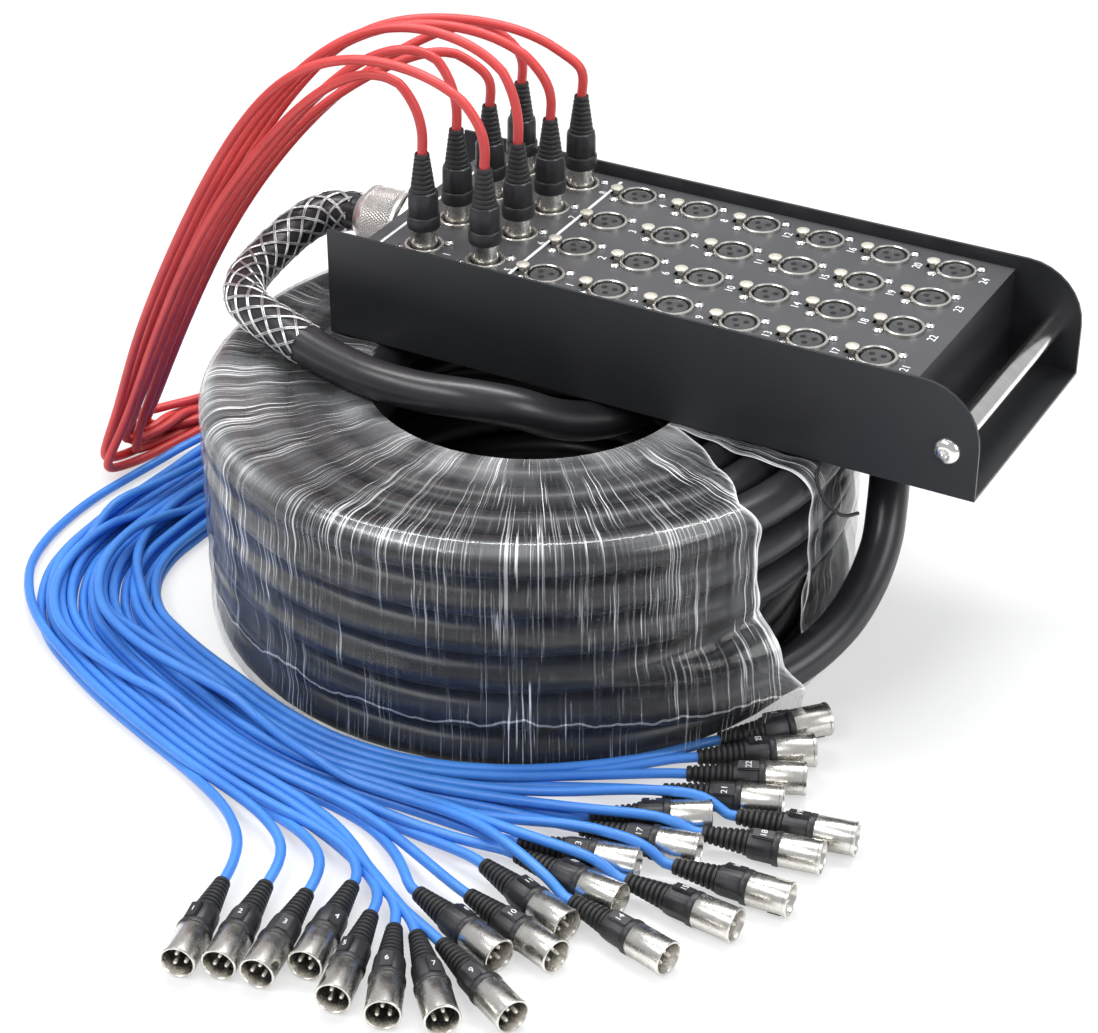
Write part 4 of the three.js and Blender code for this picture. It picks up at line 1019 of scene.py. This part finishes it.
for row in range(4):
    bm = bmesh.new()
    for column in range(6):
        socketWithScrews(bm, inputX(column), row, False)
    finishSockets(f"inputSockets{row + 1}", bm, f"input_sockets_row_{row + 1}")
bm = bmesh.new()
for number in range(1, 9):
    socketWithScrews(bm, returnX(number), (number - 1) % 4, True)
finishSockets("returnSockets", bm, "return_sockets")


def releaseTab():
    bm = bmesh.new()
    turned(bm, [(0, 0.0030), (0.0037, 0.0030), (0.0040, 0.0033), (0.0041, 0.0040), (0.0038, 0.0045),
                (0.0028, 0.0047), (0, 0.0048)], 32, None, 0)
    roundBlock(bm, (0.0034, 0.0034, 0.0036), (0, 0, 0.0013), None, 0, 0.0003)
    return meshObject("tabPattern", bm, [castTab])


tabPattern = releaseTab()
scene.collection.objects.unlink(tabPattern)
for number in range(1, 25):
    column, row = divmod(number - 1, 4)
    tab = linkObject(f"releaseTab{number:02d}", tabPattern.data)
    tab.location = (inputX(column) - panel["tab"], rowY(row), panelTop)
    standsFor(tab, "latch_nickel", f"input_latch_{number:02d}", f"input_latch_{number:02d}")


def numberText(name, number, size, matrix):
    data = bpy.data.curves.new(name, "FONT")
    data.body = str(number)
    data.size = size
    data.align_x = "CENTER"
    data.align_y = "CENTER"
    data.extrude = 0.00012
    made = linkObject(name, data)
    made.matrix_world = matrix
    return made


def joinTexts(name, texts):
    bpy.context.view_layer.update()
    bm = bmesh.new()
    graph = bpy.context.evaluated_depsgraph_get()
    for text in texts:
        part = bpy.data.meshes.new_from_object(text.evaluated_get(graph))
        part.transform(text.matrix_world)
        bm.from_mesh(part)
        bpy.data.objects.remove(text)
    return meshObject(name, bm, [whitePrint])


printed = {
    "size": 0.0072, "plugSize": 0.0050, "input": (0.0188, -0.0032), "return": (0.0178, -0.0035),
    "rules": (0.0285, 0.1165), "ruleWidth": 0.0019, "margin": 0.0075, "onPlug": (0, 0.0099, 0.0345),
}


def panelNumber(number, x, row, kind):
    ahead, aside = printed[kind]
    seat = Matrix.Translation((x + ahead, rowY(row) + aside, panelTop + 0.0001))
    seat = seat @ Matrix.Rotation(math.pi / 2, 4, "Z")
    return numberText("panelNumber", number, printed["size"], seat)


prints = [panelNumber(column * 4 + row + 1, inputX(column), row, "input") for column in range(6) for row in range(4)]
prints += [panelNumber(number, returnX(number), (number - 1) % 4, "return") for number in range(1, 9)]
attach(joinTexts("panelNumbers", prints), carried)

bm = bmesh.new()
half = channelBox[1].y - boxMiddle - printed["margin"]
for x in printed["rules"]:
    roundBlock(bm, (printed["ruleWidth"], 2 * half, 0.0002), (boxLeft + x, boxMiddle, panelTop + 0.0001))
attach(meshObject("panelRules", bm, [whitePrint]), carried)
labels = []
for number, matrix in plugNumbers:
    seat = matrix @ Matrix.Translation(printed["onPlug"]) @ Matrix.Rotation(-math.pi / 2, 4, "X")
    labels.append(numberText("plugNumber", number, printed["plugSize"], seat))
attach(joinTexts("plugNumbers", labels), carried)
print("panel dressed")

# handle, bolts and gland
bm = bmesh.new()
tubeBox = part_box("handle_tube")
tubeMiddle = (tubeBox[0] + tubeBox[1]) / 2
across = Matrix.Translation(tubeMiddle) @ Matrix.Rotation(math.pi / 2, 4, "X")
halfTube = (tubeBox[1].y - tubeBox[0].y) / 2
turned(bm, [(0.0046, -halfTube), (0.0065, -halfTube), (0.0065, halfTube), (0.0046, halfTube)], 48, across, 0, True)
handle = meshObject("handleTube", bm, [polishedTube])
standsFor(handle, "polished_steel", carried, "handle_tube")
for name, node, direction in (("boltNear", "handle_bolt_near", -1), ("boltFar", "handle_bolt_far", 1)):
    bm = bmesh.new()
    seatY = channelBox[0].y - 0.0002 if direction < 0 else channelBox[1].y + 0.0002
    seat = Matrix.Translation((tubeMiddle.x, seatY, tubeMiddle.z))
    seat = seat @ Matrix.Rotation(-direction * math.pi / 2, 4, "X")
    dome = [(0.008 * math.sin(math.radians(a)), 0.0046 * math.cos(math.radians(a))) for a in range(30, 91, 10)]
    turned(bm, [(0, 0.0028), (0.0022, 0.0028), (0.0026, 0.0040), *dome, (0.008, 0), (0.003, 0), (0.003, -0.014),
                (0, -0.014)], 32, seat, 0)
    bolt = meshObject(name, bm, [polishedTube])
    standsFor(bolt, "polished_steel", carried, node)

gland = {"height": 0.037, "inset": 0.019, "knurls": 72, "levels": 13, "knurledFrom": 0.0160, "knurledLength": 0.0210}
glandPlace = Matrix.Translation((boxLeft + gland["inset"], boxMiddle, boxBottom + gland["height"]))
glandPlace = glandPlace @ Matrix.Rotation(-math.pi / 2, 4, "Y")
bm = bmesh.new()
turned(bm, [(0, -0.0073), (0.0195, -0.0073), (0.0195, -0.0023), (0.0155, -0.0023), (0.0155, 0.0003)], 6,
       glandPlace, 0)
turned(bm, [(0.0155, 0.0003), (0.0195, 0.0003), (0.0205, 0.0012), (0.0205, 0.0122), (0.0195, 0.0131),
            (0.0155, 0.0131)], 6, glandPlace, 0)
turned(bm, [(0.0152, 0.0128), (0.0152, 0.0440), (0.0140, 0.0456), (0.0122, 0.0456), (0.0122, 0.030), (0, 0.030)],
       48, glandPlace, 0)
glandBody = meshObject("glandBody", bm, [glandNickel])
standsFor(glandBody, "gland_nickel", carried, "gland_body")


def knurledNut():
    bm = bmesh.new()
    count, levels = gland["knurls"], gland["levels"]
    rings = []
    for k in range(levels + 1):
        height = gland["knurledFrom"] + gland["knurledLength"] * k / levels
        ring = []
        for j in range(count):
            turn = 2 * math.pi * (j + 0.5 * (k % 2)) / count
            radius = 0.0214 if 0 < k < levels else 0.0206
            ring.append(bm.verts.new(glandPlace @ polar(radius, turn, height)))
        rings.append(ring)
    for k, (a, b) in enumerate(zip(rings, rings[1:])):
        for j in range(count):
            following = (j + 1) % count
            if k % 2:
                corners = [(a[j], a[following], b[following]), (a[j], b[following], b[j])]
            else:
                corners = [(a[j], a[following], b[j]), (a[following], b[following], b[j])]
            for corner in corners:
                bm.faces.new(corner)
    points = bmesh.ops.poke(bm, faces=bm.faces[:])
    for vert in points["verts"]:
        flat = glandPlace.inverted() @ vert.co
        vert.co = glandPlace @ Vector((flat.x * 0.978, flat.y * 0.978, flat.z))
    turned(bm, [(0.0206, 0.0160), (0.0204, 0.0140), (0.0158, 0.0138)], 48, glandPlace, 0)
    turned(bm, [(0.0206, 0.0370), (0.0203, 0.0392), (0.0185, 0.0398), (0.0158, 0.0398)], 48, glandPlace, 0)
    return meshObject("glandNut", bm, [glandNickel], 12)


standsFor(knurledNut(), "gland_nickel", carried, "gland_nut")

# wire mesh sleeve: wires wound both ways round the trunk's first bend
sleeve = {
    "length": 0.200, "from": 0.004, "radius": 0.01265, "wire": 0.00042, "wires": 7, "lead": 0.105, "pair": 0.05,
    "weave": 0.0003,
}


def wireSleeveGrip():
    run = smoothPath(leadRoute[:12], 0.002)
    gone = 0.0
    frames = []
    side = Vector((0, 0, 1))
    for i, point in enumerate(run):
        along = alongPath(run, i).normalized()
        side = (side - along * side.dot(along)).normalized()
        if sleeve["from"] <= gone <= sleeve["length"]:
            frames.append((gone, point, along, side))
        if i + 1 < len(run):
            gone += (run[i + 1] - point).length
    data = bpy.data.curves.new("meshGrip", "CURVE")
    data.dimensions = "3D"
    data.bevel_depth = sleeve["wire"]
    data.bevel_resolution = 1
    data.materials.append(meshWire)
    pairs = (-sleeve["pair"], sleeve["pair"])
    for way, k, pair in [(way, k, pair) for way in (1, -1) for k in range(sleeve["wires"]) for pair in pairs]:
        places = []
        for reach, point, along, aside in frames:
            turn = way * (2 * math.pi * (reach / sleeve["lead"])) + 2 * math.pi * k / sleeve["wires"] + pair
            weave = sleeve["weave"] * way * math.cos(2 * math.pi * reach / sleeve["lead"] * sleeve["wires"])
            out = aside * math.cos(turn) + along.cross(aside) * math.sin(turn)
            places.append(point + out * (sleeve["radius"] + weave))
        addStrand(data, places)
    standsFor(linkObject("meshGrip", data), "mesh_wire", carried, "mesh_grip")


wireSleeveGrip()
tie = [(0.150, -0.012, 0.150), (0.152, -0.022, 0.146), (0.160, -0.027, 0.136), (0.170, -0.024, 0.128),
       (0.176, -0.016, 0.127)]
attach(curveAlong("tieTail", smoothPath(tie, 0.003), 0.0022, bootRubber, 2), carried)
print("gland and grip made")

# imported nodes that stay, with their finishes
for node, material in (("outer_channel", boxPaint), ("connector_panel", panelPaint), ("wiring_loom", wireSleeve)):
    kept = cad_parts[node]
    kept.data.materials.clear()
    kept.data.materials.append(material)
    if node != "wiring_loom":
        rounded = kept.modifiers.new("rounded edges", "BEVEL")
        rounded.width = 0.0005
        rounded.segments = 2
        rounded.limit_method = "ANGLE"

# floor, world and lamps; the floor keeps its shadow near the object and runs out to plain white
floorPaint = newMaterial("paleFloor", (0.9, 0.9, 0.9), 0.9, Specular_IOR_Level=0.1)
glow = addNode(floorPaint, "ShaderNodeEmission")
rays = addNode(floorPaint, "ShaderNodeLightPath")
floorMix = addNode(floorPaint, "ShaderNodeMixShader")
spot = addNode(floorPaint, "ShaderNodeTexCoord")
away = addNode(floorPaint, "ShaderNodeVectorMath", operation="LENGTH")
join(floorPaint, spot.outputs["Object"], away.inputs[0])
fade = spread(floorPaint, away.outputs["Value"], 0.55, 1.0, 0.5, 1.5)
join(floorPaint, mathNode(floorPaint, "MULTIPLY", rays.outputs["Is Camera Ray"], fade), floorMix.inputs["Fac"])
join(floorPaint, floorPaint.node_tree.nodes["Principled BSDF"].outputs[0], floorMix.inputs[1])
join(floorPaint, glow.outputs[0], floorMix.inputs[2])
join(floorPaint, floorMix.outputs[0], floorPaint.node_tree.nodes["Material Output"].inputs["Surface"])
floorData = bpy.data.meshes.new("floor")
floorData.from_pydata([(-6, -6, 0), (6, -6, 0), (6, 6, 0), (-6, 6, 0)], [], [(0, 1, 2, 3)])
floorData.materials.append(floorPaint)
linkObject("floor", floorData)

world = bpy.data.worlds.new("studio")
scene.world = world
world.use_nodes = True
background = world.node_tree.nodes["Background"]
background.inputs["Color"].default_value = (0.95, 0.97, 1.0, 1)
background.inputs["Strength"].default_value = 0.55
plain = addNode(world, "ShaderNodeBackground", Color=(1, 1, 1, 1))
worldRays = addNode(world, "ShaderNodeLightPath")
worldMix = addNode(world, "ShaderNodeMixShader")
join(world, worldRays.outputs["Is Camera Ray"], worldMix.inputs["Fac"])
join(world, background.outputs[0], worldMix.inputs[1])
join(world, plain.outputs[0], worldMix.inputs[2])
join(world, worldMix.outputs[0], world.node_tree.nodes["World Output"].inputs["Surface"])

lamps = {
    "overhead": {"place": (0.1, 0.5, 1.9), "aim": (0, 0, 0.1), "size": 1.6, "power": 10},
    "strip": {"place": (-0.2, 0.35, 1.5), "aim": (-0.05, 0, 0.15), "size": 1.7, "height": 0.20, "power": 20},
    "frontLeft": {"place": (-0.75, -1.25, 1.75), "aim": (-0.05, 0, 0.1), "size": 1.7, "height": 0.45, "power": 20},
    "right": {"place": (1.9, -0.4, 1.1), "aim": (0.1, 0, 0.15), "size": 0.9, "power": 13},
}
for name, lamp in lamps.items():
    lampData = bpy.data.lights.new(name, "AREA")
    lampData.shape = "RECTANGLE"
    lampData.size = lamp["size"]
    lampData.size_y = lamp.get("height", lamp["size"])
    lampData.energy = lamp["power"]
    aimFrom(linkObject(name, lampData), lamp["place"], Vector(lamp["aim"]) - Vector(lamp["place"]))
scene.view_settings.view_transform = "Standard"
print("lamps and floor set")

bpy.context.view_layer.update()
